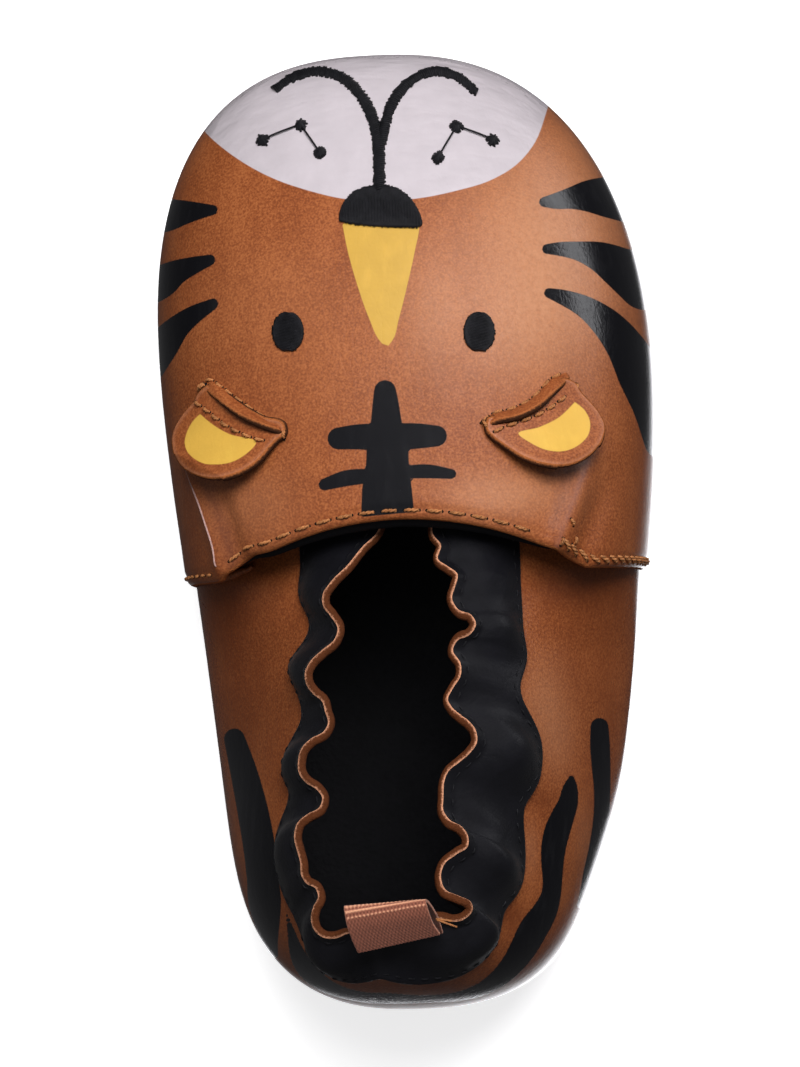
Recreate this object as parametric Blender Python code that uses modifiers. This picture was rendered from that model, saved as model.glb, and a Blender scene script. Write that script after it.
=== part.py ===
"""Infant's soft-sole animal slipper, right foot: a tiger-face vamp lapped over a gathered heel panel.

Toe along +Y, wearer's outer side along +X, floor at Z = 0.
"""
import math
from collections import namedtuple

import bmesh
import bpy
import numpy as np
from mathutils import Vector

MM = 0.001
GAP = 0.3 * MM
PROBE = 0.2 * MM
TINY = 1e-9

# Driving dimensions of the last
TOE_REACH = 59.0 * MM
HEEL_REACH = 59.9 * MM
BELLY_HEIGHT = 11.0 * MM
INSTEP_HEIGHT = 41.0 * MM
FEATHER_INSET = 3.2 * MM

# Sole and insole
SOLE_THICKNESS = 2.0 * MM
SOLE_INSET = 2.6 * MM
SOLE_EDGE_ROUND = 0.5 * MM
INSOLE_THICKNESS = 1.5 * MM
INSOLE_INSET = 6.2 * MM
TOE_SPRING = 2.2 * MM
TOE_SPRING_START = 38.0 * MM
ARCH_LIFT = 0.5 * MM
ARCH_BACK = -25.0 * MM
ARCH_FRONT = 5.0 * MM

# Vamp: a dome from the throat to the toe
VAMP_WALL = 1.5 * MM
VAMP_SIDE_EDGE = -6.0 * MM
THROAT_RISE = 6.5 * MM
THROAT_SPREAD = 0.80
CROWN_BACK = -8.0 * MM
TOE_FULLNESS = 1.8
TOE_ROUNDNESS = 2.2
SECTION_AT_THROAT = 2.4
SECTION_AT_TOE = 2.2
TURN_IN_STEPS = 3

# Heel panel: a wall round the heel that runs on under the vamp
PANEL_WALL = 1.4 * MM
LAP_STEP = 0.9 * MM
PANEL_FRONT = 5.0 * MM
PANEL_BOTTOM_LIFT = 0.2 * MM
LEAN_POWER_UNDER_VAMP = 2.2
LEAN_POWER_BEHIND = 1.35
LEAN_CHANGE_START = -5.0 * MM
LEAN_CHANGE_END = -18.0 * MM

# Gathered collar band
BAND_WALL = 1.0 * MM
BAND_GAP = 0.5 * MM
BAND_BULGE = 1.2 * MM

# Face, placed from the middle of the throat
FACE_X = -1.0 * MM
EAR_BASE_INNER = (12.2 * MM, 12.3 * MM)
EAR_BASE_OUTER = (24.2 * MM, 17.0 * MM)
EAR_HALF_WIDTH = 7.0 * MM
EAR_SHIFT_OUT = 0.6 * MM
EAR_DEPTH = 8.6 * MM
EAR_THICKNESS = 1.3 * MM
EAR_STAND_OFF = 1.8 * MM
NOSE_HALF_WIDTH = 5.0 * MM
NOSE_FLAT_SIDE = 37.1 * MM
NOSE_DEPTH = 5.0 * MM
EYE_SPREAD = 11.8 * MM
EYE_Y = 23.9 * MM
EYE_HALF_SIZE = (1.75 * MM, 2.35 * MM)
EMBROIDERY_THICKNESS = 0.6 * MM

# Pull tab: webbing folded over the collar at the heel
TAB_WIDTH = 9.7 * MM
TAB_WALL = 0.9 * MM
TAB_PLACE = (-2.1 * MM, -48.4 * MM, 0.0)
TAB_TURN = math.radians(5.0)

# A plan path's width and middle at a station, from -1 at the heel to 1 at the toe
PlanRow = namedtuple("PlanRow", "station half_width centre")
PlanPath = namedtuple("PlanPath", "toe heel exponent rows")
HeightRow = namedtuple("HeightRow", "y seam edge")
FoldRow = namedtuple("FoldRow", "y outward")
TabRow = namedtuple("TabRow", "place y z")

BELLY = PlanPath(TOE_REACH, HEEL_REACH, 2.5, (
    PlanRow(-1.00, 33.2 * MM, -0.9 * MM),
    PlanRow(-0.80, 29.6 * MM, -1.2 * MM),
    PlanRow(-0.50, 27.8 * MM, 0.0 * MM),
    PlanRow(-0.15, 28.2 * MM, 0.4 * MM),
    PlanRow(0.10, 29.7 * MM, 0.4 * MM),
    PlanRow(0.30, 31.0 * MM, 0.1 * MM),
    PlanRow(0.60, 33.0 * MM, -0.9 * MM),
    PlanRow(1.00, 35.6 * MM, -2.6 * MM),
))

# The line where the heel panel ends and the collar band starts
SEAM = PlanPath(TOE_REACH, 55.8 * MM, 2.5, (
    PlanRow(-1.00, 21.0 * MM, -1.8 * MM),
    PlanRow(-0.80, 18.8 * MM, -1.8 * MM),
    PlanRow(-0.50, 16.4 * MM, 0.4 * MM),
    PlanRow(-0.25, 14.2 * MM, 0.8 * MM),
    PlanRow(0.10, 13.2 * MM, 1.5 * MM),
))

# The mean line of the band's free edge
EDGE = PlanPath(TOE_REACH, 48.0 * MM, 4.0, (
    PlanRow(-1.00, 12.4 * MM, -2.1 * MM),
    PlanRow(-0.75, 10.2 * MM, -2.6 * MM),
    PlanRow(-0.48, 9.1 * MM, -1.6 * MM),
    PlanRow(-0.20, 8.0 * MM, -0.2 * MM),
    PlanRow(0.00, 5.0 * MM, 0.9 * MM),
    PlanRow(0.10, 3.4 * MM, 1.2 * MM),
))

COLLAR_HEIGHTS = (
    HeightRow(-56.0 * MM, 34.5 * MM, 43.0 * MM),
    HeightRow(-32.0 * MM, 33.0 * MM, 41.5 * MM),
    HeightRow(-12.0 * MM, 31.0 * MM, 39.0 * MM),
    HeightRow(5.0 * MM, 29.0 * MM, 34.0 * MM),
)

# Gathers of the free edge: how far each fold stands out of its mean line
RIGHT_FOLDS = (
    FoldRow(-48.6 * MM, 0.0 * MM),
    FoldRow(-46.0 * MM, 1.2 * MM),
    FoldRow(-41.3 * MM, -1.8 * MM),
    FoldRow(-36.8 * MM, 1.7 * MM),
    FoldRow(-33.8 * MM, -1.2 * MM),
    FoldRow(-29.4 * MM, -1.4 * MM),
    FoldRow(-24.8 * MM, 1.9 * MM),
    FoldRow(-20.5 * MM, -1.2 * MM),
    FoldRow(-17.0 * MM, 0.4 * MM),
    FoldRow(-13.9 * MM, -0.8 * MM),
    FoldRow(-10.7 * MM, 1.8 * MM),
    FoldRow(-7.6 * MM, -0.8 * MM),
    FoldRow(-4.6 * MM, 0.6 * MM),
    FoldRow(-1.0 * MM, 0.0 * MM),
)
LEFT_FOLDS = (
    FoldRow(-48.6 * MM, 0.0 * MM),
    FoldRow(-47.0 * MM, 0.9 * MM),
    FoldRow(-44.4 * MM, -1.2 * MM),
    FoldRow(-41.6 * MM, 0.9 * MM),
    FoldRow(-37.1 * MM, 1.9 * MM),
    FoldRow(-32.8 * MM, -1.7 * MM),
    FoldRow(-28.6 * MM, 2.2 * MM),
    FoldRow(-23.5 * MM, -1.8 * MM),
    FoldRow(-17.4 * MM, 1.8 * MM),
    FoldRow(-12.0 * MM, -1.5 * MM),
    FoldRow(-7.7 * MM, 1.4 * MM),
    FoldRow(-1.0 * MM, 0.0 * MM),
)

# Middle of the webbing from its place, from its outer end over the fold to its inner end
TAB_PROFILE = (
    TabRow(0, -2.6 * MM, 42.9 * MM),
    TabRow(1, -2.0 * MM, 44.4 * MM),
    TabRow(2, -0.7 * MM, 46.4 * MM),
    TabRow(3, 0.9 * MM, 48.0 * MM),
    TabRow(4, 2.3 * MM, 48.6 * MM),
    TabRow(5, 3.1 * MM, 47.8 * MM),
    TabRow(6, 3.1 * MM, 46.0 * MM),
    TabRow(7, 2.9 * MM, 44.2 * MM),
    TabRow(8, 2.8 * MM, 42.6 * MM),
)

# Grid counts
DOME_COLUMNS = 26
DOME_ROWS = 15
PANEL_COLUMNS = 44
PANEL_ROWS = 7
BAND_COLUMNS = 132
BAND_ROWS = 3
DISC_CELLS = 16
SMALL_CELLS = 8
TAB_STEPS = 22
DENSE_STEPS = 600

Finish = namedtuple("Finish", "colour roughness metallic")
FINISHES = {
    "upper": Finish((0.40, 0.145, 0.055), 0.50, 0.0),
    "collar_band": Finish((0.012, 0.012, 0.016), 0.45, 0.0),
    "sole": Finish((0.30, 0.12, 0.05), 0.80, 0.0),
    "insole": Finish((0.010, 0.010, 0.012), 0.85, 0.0),
    "ear_left": Finish((0.42, 0.16, 0.07), 0.55, 0.0),
    "ear_right": Finish((0.42, 0.16, 0.07), 0.55, 0.0),
    "nose": Finish((0.006, 0.006, 0.007), 0.60, 0.0),
    "eye_left": Finish((0.006, 0.006, 0.007), 0.60, 0.0),
    "eye_right": Finish((0.006, 0.006, 0.007), 0.60, 0.0),
    "pull_tab": Finish((0.45, 0.18, 0.09), 0.75, 0.0),
}


# Reading tables and paths


def smooth_read(rows, column, place):
    """Value of a table's column at a place, along one smooth curve through its rows."""
    places = np.array([row[0] for row in rows])
    values = np.array([getattr(row, column) for row in rows])
    slopes = np.gradient(values, places)
    place = min(max(place, places[0]), places[-1])
    first = min(max(int(np.searchsorted(places, place)) - 1, 0), len(places) - 2)
    span = places[first + 1] - places[first]
    t = (place - places[first]) / span
    start = (1 + 2 * t) * (1 - t) ** 2 * values[first] + t * (1 - t) ** 2 * span * slopes[first]
    finish = t * t * (3 - 2 * t) * values[first + 1] + t * t * (t - 1) * span * slopes[first + 1]
    return start + finish


def ease(value):
    """Smooth step from 0 to 1."""
    value = min(max(value, 0.0), 1.0)
    return value * value * (3 - 2 * value)


def signed_power(value, power):
    return math.copysign(abs(value) ** power, value)


def inset_path(path, distance):
    """A plan path drawn in by a distance all round."""
    rows = tuple(row._replace(half_width=row.half_width - distance) for row in path.rows)
    return PlanPath(path.toe - distance, path.heel - distance, path.exponent, rows)


def station_of(path, y):
    return y / (path.toe if y > 0 else path.heel)


def half_width_at(path, y):
    """Half width and middle of a plan path at y."""
    station = station_of(path, y)
    closing = max(0.0, 1.0 - abs(station) ** path.exponent) ** (1.0 / path.exponent)
    centre = smooth_read(path.rows, "centre", station)
    return smooth_read(path.rows, "half_width", station) * closing, centre


def path_point(path, turn):
    """Point of a plan path at a turn: 0 is the right side, a quarter turn is the toe."""
    across = signed_power(math.cos(turn), 2.0 / path.exponent)
    along = signed_power(math.sin(turn), 2.0 / path.exponent)
    x = smooth_read(path.rows, "centre", along) + smooth_read(path.rows, "half_width", along) * across
    y = along * (path.toe if along > 0 else path.heel)
    return Vector((x, y))


def turn_at(path, y, side):
    """Turn of the plan path's point at y on the right (1) or left (-1) side."""
    turn = math.asin(signed_power(min(max(station_of(path, y), -1.0), 1.0), path.exponent / 2.0))
    return turn if side > 0 else math.pi - turn


def heel_round(path, front, count):
    """Evenly spaced points from a path's right front, round the heel, to its left front."""
    first = turn_at(path, front, 1)
    turns = [first - (math.pi + 2 * first) * step / DENSE_STEPS for step in range(DENSE_STEPS + 1)]
    points = [path_point(path, turn) for turn in turns]
    lengths = [0.0]
    for before, after in zip(points, points[1:]):
        lengths.append(lengths[-1] + (after - before).length)
    wanted = np.linspace(0.0, lengths[-1], count + 1)
    xs = np.interp(wanted, lengths, [point.x for point in points])
    ys = np.interp(wanted, lengths, [point.y for point in points])
    return [Vector((x, y)) for x, y in zip(xs, ys)]


# Surfaces of the last


def sole_lift(y):
    """Height of the sole's underside: arch and toe spring."""
    lift = 0.0
    if y > TOE_SPRING_START:
        lift += TOE_SPRING * ((y - TOE_SPRING_START) / (TOE_REACH - TOE_SPRING_START)) ** 2
    if ARCH_BACK < y < ARCH_FRONT:
        lift += ARCH_LIFT * math.sin(math.pi * (y - ARCH_BACK) / (ARCH_FRONT - ARCH_BACK)) ** 2
    return lift


def feather_height(y):
    return sole_lift(y) + SOLE_THICKNESS + GAP


def toe_progress(y):
    """0 behind the throat to 1 at the toe."""
    return min(max((y - CROWN_BACK) / (TOE_REACH - CROWN_BACK), 0.0), 1.0)


def vamp_height(x, y):
    """Height of the vamp's outer face over a plan position."""
    half, centre = half_width_at(BELLY, y)
    if half <= 0.0:
        return BELLY_HEIGHT
    progress = toe_progress(y)
    crown = (INSTEP_HEIGHT - BELLY_HEIGHT) * (1.0 - progress ** TOE_FULLNESS) ** (1.0 / TOE_ROUNDNESS)
    power = SECTION_AT_THROAT + (SECTION_AT_TOE - SECTION_AT_THROAT) * progress
    across = min(abs(x - centre) / half, 1.0)
    return BELLY_HEIGHT + crown * (1.0 - across ** power) ** (1.0 / power)


def vamp_normal(x, y):
    slope_x = (vamp_height(x + PROBE, y) - vamp_height(x - PROBE, y)) / (2 * PROBE)
    slope_y = (vamp_height(x, y + PROBE) - vamp_height(x, y - PROBE)) / (2 * PROBE)
    return Vector((-slope_x, -slope_y, 1.0)).normalized()


def on_vamp(x, y, stand_off):
    """Point a distance above the vamp's outer face."""
    return Vector((x, y, vamp_height(x, y))) + vamp_normal(x, y) * stand_off


def throat_edge(across):
    """Y of the vamp's rear edge, from the side seams up over the throat."""
    spread = min(abs(across) / THROAT_SPREAD, 1.0)
    return VAMP_SIDE_EDGE + THROAT_RISE * (1.0 - spread * spread)


def dome_point(a, b):
    """Vamp point for a place in the unit half disc: b = 0 is the throat edge, radius 1 the belly."""
    radius = min(math.hypot(a, b), 1.0)
    angle = math.atan2(b, a)
    reach = math.sin(radius * math.pi / 2)
    power = BELLY.exponent
    along = reach * max(math.sin(angle), 0.0) ** (2.0 / power)
    across = reach * signed_power(math.cos(angle), 2.0 / power)
    room = max(1.0 - along ** power, TINY) ** (1.0 / power)
    across = min(max(across / room, -1.0), 1.0)
    y = throat_edge(across) + (TOE_REACH - throat_edge(across)) * along
    half, centre = half_width_at(BELLY, y)
    x = centre + half * across
    if radius > 1.0 - TINY:
        return Vector((x, y, BELLY_HEIGHT))
    return Vector((x, y, vamp_height(x, y)))


def turn_in_point(path, turn, share, bottom_lift):
    """Point of the wall below the belly, drawn in towards the sole's edge as share goes to 1."""
    outer = path_point(path, turn)
    inner = path_point(inset_path(path, FEATHER_INSET), turn)
    bend = share * math.pi / 2
    plan = outer.lerp(inner, 1.0 - math.cos(bend))
    bottom = feather_height(plan.y) + bottom_lift
    return Vector((plan.x, plan.y, BELLY_HEIGHT + (bottom - BELLY_HEIGHT) * math.sin(bend)))


# Mesh helpers


def half_disc(columns, rows):
    """Grid of places that fills the unit half disc, row by row from its straight edge."""
    places = []
    for row in range(rows + 1):
        v = row / rows
        line = []
        for column in range(columns + 1):
            u = 2.0 * column / columns - 1.0
            line.append((u * math.sqrt(1 - v * v / 2), v * math.sqrt(1 - u * u / 2)))
        places.append(line)
    return places


def full_disc(cells):
    """Grid of places that fills the unit disc."""
    places = []
    for row in range(cells + 1):
        v = 2.0 * row / cells - 1.0
        line = []
        for column in range(cells + 1):
            u = 2.0 * column / cells - 1.0
            line.append((u * math.sqrt(1 - v * v / 2), v * math.sqrt(1 - u * u / 2)))
        places.append(line)
    return places


def grid_faces(mesh, lines):
    """Quads between neighbouring lines of vertices."""
    for lower, upper in zip(lines, lines[1:]):
        for column in range(len(lower) - 1):
            mesh.faces.new((lower[column], lower[column + 1], upper[column + 1], upper[column]))


def mesh_object(name, mesh, collection):
    data = bpy.data.meshes.new(name)
    mesh.to_mesh(data)
    mesh.free()
    data.shade_smooth()
    result = bpy.data.objects.new(name, data)
    collection.objects.link(result)
    return result


def surface_object(name, lines, collection):
    """Open surface through lines of points, whose order sets its front."""
    mesh = bmesh.new()
    grid_faces(mesh, [[mesh.verts.new(point) for point in line] for line in lines])
    return mesh_object(name, mesh, collection)


def thicken(target, thickness, offset):
    """Give an open surface a wall: offset -1 grows it behind its face, 1 in front, 0 both ways."""
    wall = target.modifiers.new("wall", "SOLIDIFY")
    wall.thickness = thickness
    wall.offset = offset
    wall.use_even_offset = False


def round_edges(target, width):
    bevel = target.modifiers.new("round_edges", "BEVEL")
    bevel.width = width
    bevel.segments = 2
    bevel.limit_method = "ANGLE"
    bevel.angle_limit = math.radians(50)


def finish(target):
    """Colour a part with its own plain material."""
    look = FINISHES[target.name]
    material = bpy.data.materials.new(target.name)
    material.use_nodes = True
    shader = material.node_tree.nodes["Principled BSDF"]
    shader.inputs["Base Color"].default_value = (*look.colour, 1.0)
    shader.inputs["Roughness"].default_value = look.roughness
    shader.inputs["Metallic"].default_value = look.metallic
    target.data.materials.append(material)


# Sub-parts


def plate(name, inset, bottom_of, thickness, collection):
    """Flat piece inside the belly outline that follows the sole's lift."""
    path = inset_path(BELLY, inset)
    lines = []
    for places in full_disc(DISC_CELLS):
        line = []
        for a, b in places:
            radius = math.hypot(a, b)
            point = path_point(path, math.atan2(b, a))
            middle = smooth_read(path.rows, "centre", 0.0)
            plan = Vector((middle, 0.0)).lerp(point, radius)
            line.append((plan.x, plan.y, sole_lift(plan.y) + bottom_of))
        lines.append(line)
    result = surface_object(name, lines, collection)
    thicken(result, thickness, 1.0)
    return result


def make_vamp(collection):
    """Dome over the toes, with its lower wall turned in to the sole's edge."""
    mesh = bmesh.new()
    places = half_disc(DOME_COLUMNS, DOME_ROWS)
    lines = [[mesh.verts.new(dome_point(a, b)) for a, b in line] for line in places]
    grid_faces(mesh, lines)
    rim = [line[0] for line in lines] + lines[-1][1:-1] + [line[-1] for line in reversed(lines)]
    rings = [rim]
    for step in range(1, TURN_IN_STEPS + 1):
        ring = []
        for vertex in rim:
            half, centre = half_width_at(BELLY, vertex.co.y)
            turn = turn_at(BELLY, vertex.co.y, vertex.co.x - centre)
            ring.append(mesh.verts.new(turn_in_point(BELLY, turn, step / TURN_IN_STEPS, 0.0)))
        rings.append(ring)
    grid_faces(mesh, rings)
    vamp = mesh_object("upper", mesh, collection)
    thicken(vamp, VAMP_WALL, -1.0)
    return vamp


def panel_lines():
    """Lines of points up the heel panel, from the sole's edge to the collar seam."""
    path = inset_path(BELLY, LAP_STEP)
    belly = heel_round(path, PANEL_FRONT, PANEL_COLUMNS)
    seam = heel_round(SEAM, PANEL_FRONT, PANEL_COLUMNS)
    lines = []
    for step in range(TURN_IN_STEPS, 0, -1):
        line = []
        for point in belly:
            half, centre = half_width_at(path, point.y)
            turn = turn_at(path, point.y, point.x - centre)
            line.append(turn_in_point(path, turn, step / TURN_IN_STEPS, PANEL_BOTTOM_LIFT))
        lines.append(line)
    for row in range(PANEL_ROWS + 1):
        t = row / PANEL_ROWS
        line = []
        for low, high in zip(belly, seam):
            change = ease((LEAN_CHANGE_START - low.y) / (LEAN_CHANGE_START - LEAN_CHANGE_END))
            power = LEAN_POWER_UNDER_VAMP + (LEAN_POWER_BEHIND - LEAN_POWER_UNDER_VAMP) * change
            plan = low.lerp(high, t ** power)
            top = smooth_read(COLLAR_HEIGHTS, "seam", high.y)
            line.append(Vector((plan.x, plan.y, BELLY_HEIGHT + (top - BELLY_HEIGHT) * t)))
        lines.append(line)
    return lines


def make_upper(collection, cutters):
    """One hollow upper: the vamp joined to the heel panel that it laps over."""
    panel = surface_object("heel_panel", panel_lines(), cutters)
    panel.hide_render = True
    panel.display_type = "WIRE"
    thicken(panel, PANEL_WALL, 1.0)
    upper = make_vamp(collection)
    join = upper.modifiers.new("join_heel_panel", "BOOLEAN")
    join.operation = "UNION"
    join.solver = "EXACT"
    join.object = panel
    return upper


def make_collar_band(collection):
    """Elastic band above the heel panel, gathered into folds along its free edge."""
    seam = heel_round(SEAM, PANEL_FRONT, BAND_COLUMNS)
    edge = heel_round(EDGE, PANEL_FRONT, BAND_COLUMNS)
    lines = [[] for row in range(BAND_ROWS + 1)]
    for column in range(BAND_COLUMNS + 1):
        low, high = seam[column], edge[column]
        after = edge[min(column + 1, BAND_COLUMNS)]
        before = edge[max(column - 1, 0)]
        along = (after - before).normalized()
        outward = Vector((-along.y, along.x))
        folds = RIGHT_FOLDS if column < BAND_COLUMNS / 2 else LEFT_FOLDS
        depth = smooth_read(folds, "outward", high.y)
        bottom = smooth_read(COLLAR_HEIGHTS, "seam", low.y)
        top = smooth_read(COLLAR_HEIGHTS, "edge", high.y)
        for row, line in enumerate(lines):
            t = row / BAND_ROWS
            plan = low.lerp(high, t) + outward * depth * t
            puff = BAND_BULGE * math.sin(math.pi * t)
            height = bottom + BAND_GAP + (top - bottom - BAND_GAP) * t + puff
            line.append(Vector((plan.x, plan.y, height)))
    band = surface_object("collar_band", lines, collection)
    thicken(band, BAND_WALL, 0.0)
    return band


def make_ear(name, side, collection):
    """Round flap sewn to the vamp along its base and folded back towards the heel."""
    inner, outer = Vector(EAR_BASE_INNER), Vector(EAR_BASE_OUTER)
    along = (outer - inner).normalized()
    down = Vector((along.y, -along.x))
    middle = (inner + outer) / 2 + along * EAR_SHIFT_OUT
    lines = []
    for places in half_disc(SMALL_CELLS, SMALL_CELLS // 2):
        line = []
        for a, b in places:
            plan = middle + along * a * EAR_HALF_WIDTH + down * b * EAR_DEPTH
            line.append(on_vamp(FACE_X + side * plan.x, plan.y, GAP + EAR_STAND_OFF * b * b))
        lines.append(line if side < 0 else line[::-1])
    ear = surface_object(name, lines, collection)
    thicken(ear, EAR_THICKNESS, 1.0)
    return ear


def make_nose(collection):
    """Raised half disc of satin stitch, its straight side towards the heel."""
    lines = []
    for places in half_disc(SMALL_CELLS, SMALL_CELLS // 2):
        lines.append([
            on_vamp(FACE_X + a * NOSE_HALF_WIDTH, NOSE_FLAT_SIDE + b * NOSE_DEPTH, GAP) for a, b in places
        ])
    nose = surface_object("nose", lines, collection)
    thicken(nose, EMBROIDERY_THICKNESS, 1.0)
    return nose


def make_eye(name, side, collection):
    """Raised oval of satin stitch."""
    half_x, half_y = EYE_HALF_SIZE
    lines = []
    for places in full_disc(SMALL_CELLS // 2):
        lines.append([
            on_vamp(FACE_X + side * EYE_SPREAD + a * half_x, EYE_Y + b * half_y, GAP) for a, b in places
        ])
    eye = surface_object(name, lines, collection)
    thicken(eye, EMBROIDERY_THICKNESS, 1.0)
    return eye


def make_pull_tab(collection):
    """Strip of webbing folded over the collar's edge and leaning towards the toe."""
    lines = []
    for step in range(TAB_STEPS + 1):
        place = TAB_PROFILE[-1].place * step / TAB_STEPS
        y = smooth_read(TAB_PROFILE, "y", place)
        z = smooth_read(TAB_PROFILE, "z", place)
        lines.append([(across * TAB_WIDTH / 2, y, z) for across in (-1, 0, 1)])
    tab = surface_object("pull_tab", lines, collection)
    tab.location = TAB_PLACE
    tab.rotation_euler.z = TAB_TURN
    thicken(tab, TAB_WALL, 0.0)
    return tab


def new_collection(name):
    collection = bpy.data.collections.new(name)
    bpy.context.scene.collection.children.link(collection)
    return collection


def main():
    for old in list(bpy.data.objects):
        bpy.data.objects.remove(old, do_unlink=True)
    parts = new_collection("animal_slipper")
    cutters = new_collection("cutters")
    sole = plate("sole", SOLE_INSET, 0.0, SOLE_THICKNESS, parts)
    round_edges(sole, SOLE_EDGE_ROUND)
    plate("insole", INSOLE_INSET, SOLE_THICKNESS + GAP, INSOLE_THICKNESS, parts)
    make_upper(parts, cutters)
    make_collar_band(parts)
    make_ear("ear_left", -1, parts)
    make_ear("ear_right", 1, parts)
    make_nose(parts)
    make_eye("eye_left", -1, parts)
    make_eye("eye_right", 1, parts)
    make_pull_tab(parts)
    for part in parts.objects:
        finish(part)


main()
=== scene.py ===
"""Looks of the infant's animal slipper: leather, print, embroidery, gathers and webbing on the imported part.

Shapes are worked out in millimetres, toe along +Y, and scaled to metres as meshes are made.
"""
import math

import bpy
import numpy as np
from mathutils import Matrix, Vector


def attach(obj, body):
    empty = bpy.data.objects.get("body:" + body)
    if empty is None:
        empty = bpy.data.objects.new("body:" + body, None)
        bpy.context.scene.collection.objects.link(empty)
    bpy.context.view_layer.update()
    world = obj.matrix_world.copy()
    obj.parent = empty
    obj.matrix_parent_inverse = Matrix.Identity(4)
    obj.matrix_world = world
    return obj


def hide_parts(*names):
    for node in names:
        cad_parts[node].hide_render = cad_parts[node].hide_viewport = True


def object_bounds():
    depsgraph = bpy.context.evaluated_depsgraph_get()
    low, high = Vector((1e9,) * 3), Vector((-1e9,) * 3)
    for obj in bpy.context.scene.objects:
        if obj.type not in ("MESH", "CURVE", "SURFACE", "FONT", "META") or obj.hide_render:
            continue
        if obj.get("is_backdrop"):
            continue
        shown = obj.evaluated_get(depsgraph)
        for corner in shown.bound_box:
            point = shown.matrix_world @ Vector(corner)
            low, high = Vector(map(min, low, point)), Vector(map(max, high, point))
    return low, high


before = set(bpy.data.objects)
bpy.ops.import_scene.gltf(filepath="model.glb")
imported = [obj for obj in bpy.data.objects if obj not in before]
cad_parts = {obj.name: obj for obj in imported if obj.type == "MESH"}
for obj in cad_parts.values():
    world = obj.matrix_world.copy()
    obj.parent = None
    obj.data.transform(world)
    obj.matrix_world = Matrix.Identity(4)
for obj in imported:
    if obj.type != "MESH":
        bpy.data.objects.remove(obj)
CAD_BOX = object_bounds()

MM = 0.001

# Photograph and camera
IMAGE_WIDTH = 800
IMAGE_HEIGHT = 1067
SENSOR = 36.0
MM_PER_PIXEL = 0.1236
CAMERA_DISTANCE = 750.0
CAMERA_LEAN = math.radians(4.5)
CAMERA_PITCH = math.radians(2.0)
CAMERA_ROLL = math.radians(2.2)
CAMERA_AIM = np.array((-1.55, -0.4, 12.0))

# The last, as in the part
TOE_REACH = 59.0
HEEL_REACH = 59.9
BELLY_HEIGHT = 11.0
INSTEP_HEIGHT = 41.0
FEATHER_INSET = 3.2
GAP = 0.3
SOLE_THICKNESS = 2.0
SOLE_INSET = 2.6
INSOLE_THICKNESS = 1.5
INSOLE_INSET = 6.2
TOE_SPRING = 2.2
TOE_SPRING_START = 38.0
ARCH_LIFT = 0.5
ARCH_BACK = -25.0
ARCH_FRONT = 5.0
VAMP_WALL = 1.5
VAMP_SIDE_EDGE = -6.0
THROAT_RISE = 6.5
THROAT_SPREAD = 0.80
LEFT_NOTCH = 0.8
NOTCH_PLACE = -0.67
NOTCH_WIDTH = 0.08
CROWN_BACK = -8.0
TOE_FULLNESS = 1.8
TOE_ROUNDNESS = 2.2
SECTION_AT_THROAT = 2.4
SECTION_AT_TOE = 2.2
PANEL_WALL = 1.4
LAP_STEP = 0.9
PANEL_FRONT = 5.0
LEAN_POWER_UNDER_VAMP = 2.2
LEAN_POWER_BEHIND = 1.35
LEAN_POWER_AT_HEEL = 2.4
HEEL_FULL_START = -25.0
HEEL_FULL_END = -50.0
LEAN_CHANGE_START = -5.0
LEAN_CHANGE_END = -18.0
BAND_WALL = 1.0
TINY = 1e-9
SPLINE_DENSITY = 40
HEEL_POINTS = 4001
FIRST_HEIGHT = 30.0
FACE_REPEATS = 40
PROBE = 0.2


# Tables and plan paths


def smooth_curve(places, values):
    """Function that runs one smooth curve through a short table."""
    places = np.asarray(places, float)
    values = np.asarray(values, float)
    slopes = np.gradient(values, places)

    def read(at):
        """Values of the curve."""
        at = np.clip(at, places[0], places[-1])
        first = np.clip(np.searchsorted(places, at) - 1, 0, len(places) - 2)
        span = places[first + 1] - places[first]
        t = (at - places[first]) / span
        start = (1 + 2 * t) * (1 - t) ** 2 * values[first] + t * (1 - t) ** 2 * span * slopes[first]
        end = t * t * (3 - 2 * t) * values[first + 1] + t * t * (t - 1) * span * slopes[first + 1]
        return start + end

    return read


def ease(value):
    """Smooth step from 0 to 1."""
    value = np.clip(value, 0.0, 1.0)
    return value * value * (3 - 2 * value)


def signed_power(value, power):
    """Power of a value's size, with the value's sign."""
    return np.sign(value) * np.abs(value) ** power


def hump(value, place, width):
    """Smooth bump of height 1 round a place."""
    return np.exp(-((value - place) / width) ** 2)


def unit(vectors):
    """Directions of vectors."""
    return vectors / np.maximum(np.linalg.norm(vectors, axis=-1, keepdims=True), TINY)


def run_along(points):
    """Length of a line up to each of its points."""
    return np.concatenate(([0.0], np.cumsum(np.linalg.norm(np.diff(points, axis=0), axis=1))))


def read_line(at, places, points):
    """Points of a line, read at places along it."""
    return np.stack([np.interp(at, places, column) for column in points.T], axis=-1)


def even_steps(points, count):
    """Points of a line, spaced evenly along it."""
    lengths = run_along(points)
    return read_line(np.linspace(0.0, lengths[-1], count + 1), lengths, points)


def smooth_line(places, points, count):
    """Evenly spaced points of one smooth line, given by points at places along it."""
    dense = np.linspace(0.0, places[-1], SPLINE_DENSITY * len(points))
    line = np.stack([smooth_curve(places, column)(dense) for column in points.T], axis=1)
    return even_steps(line, count)


def spline_through(points, count):
    """Evenly spaced points of one smooth line through a few points."""
    points = np.asarray(points, float)
    return smooth_line(run_along(points[:, :2]), points, count)


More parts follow.
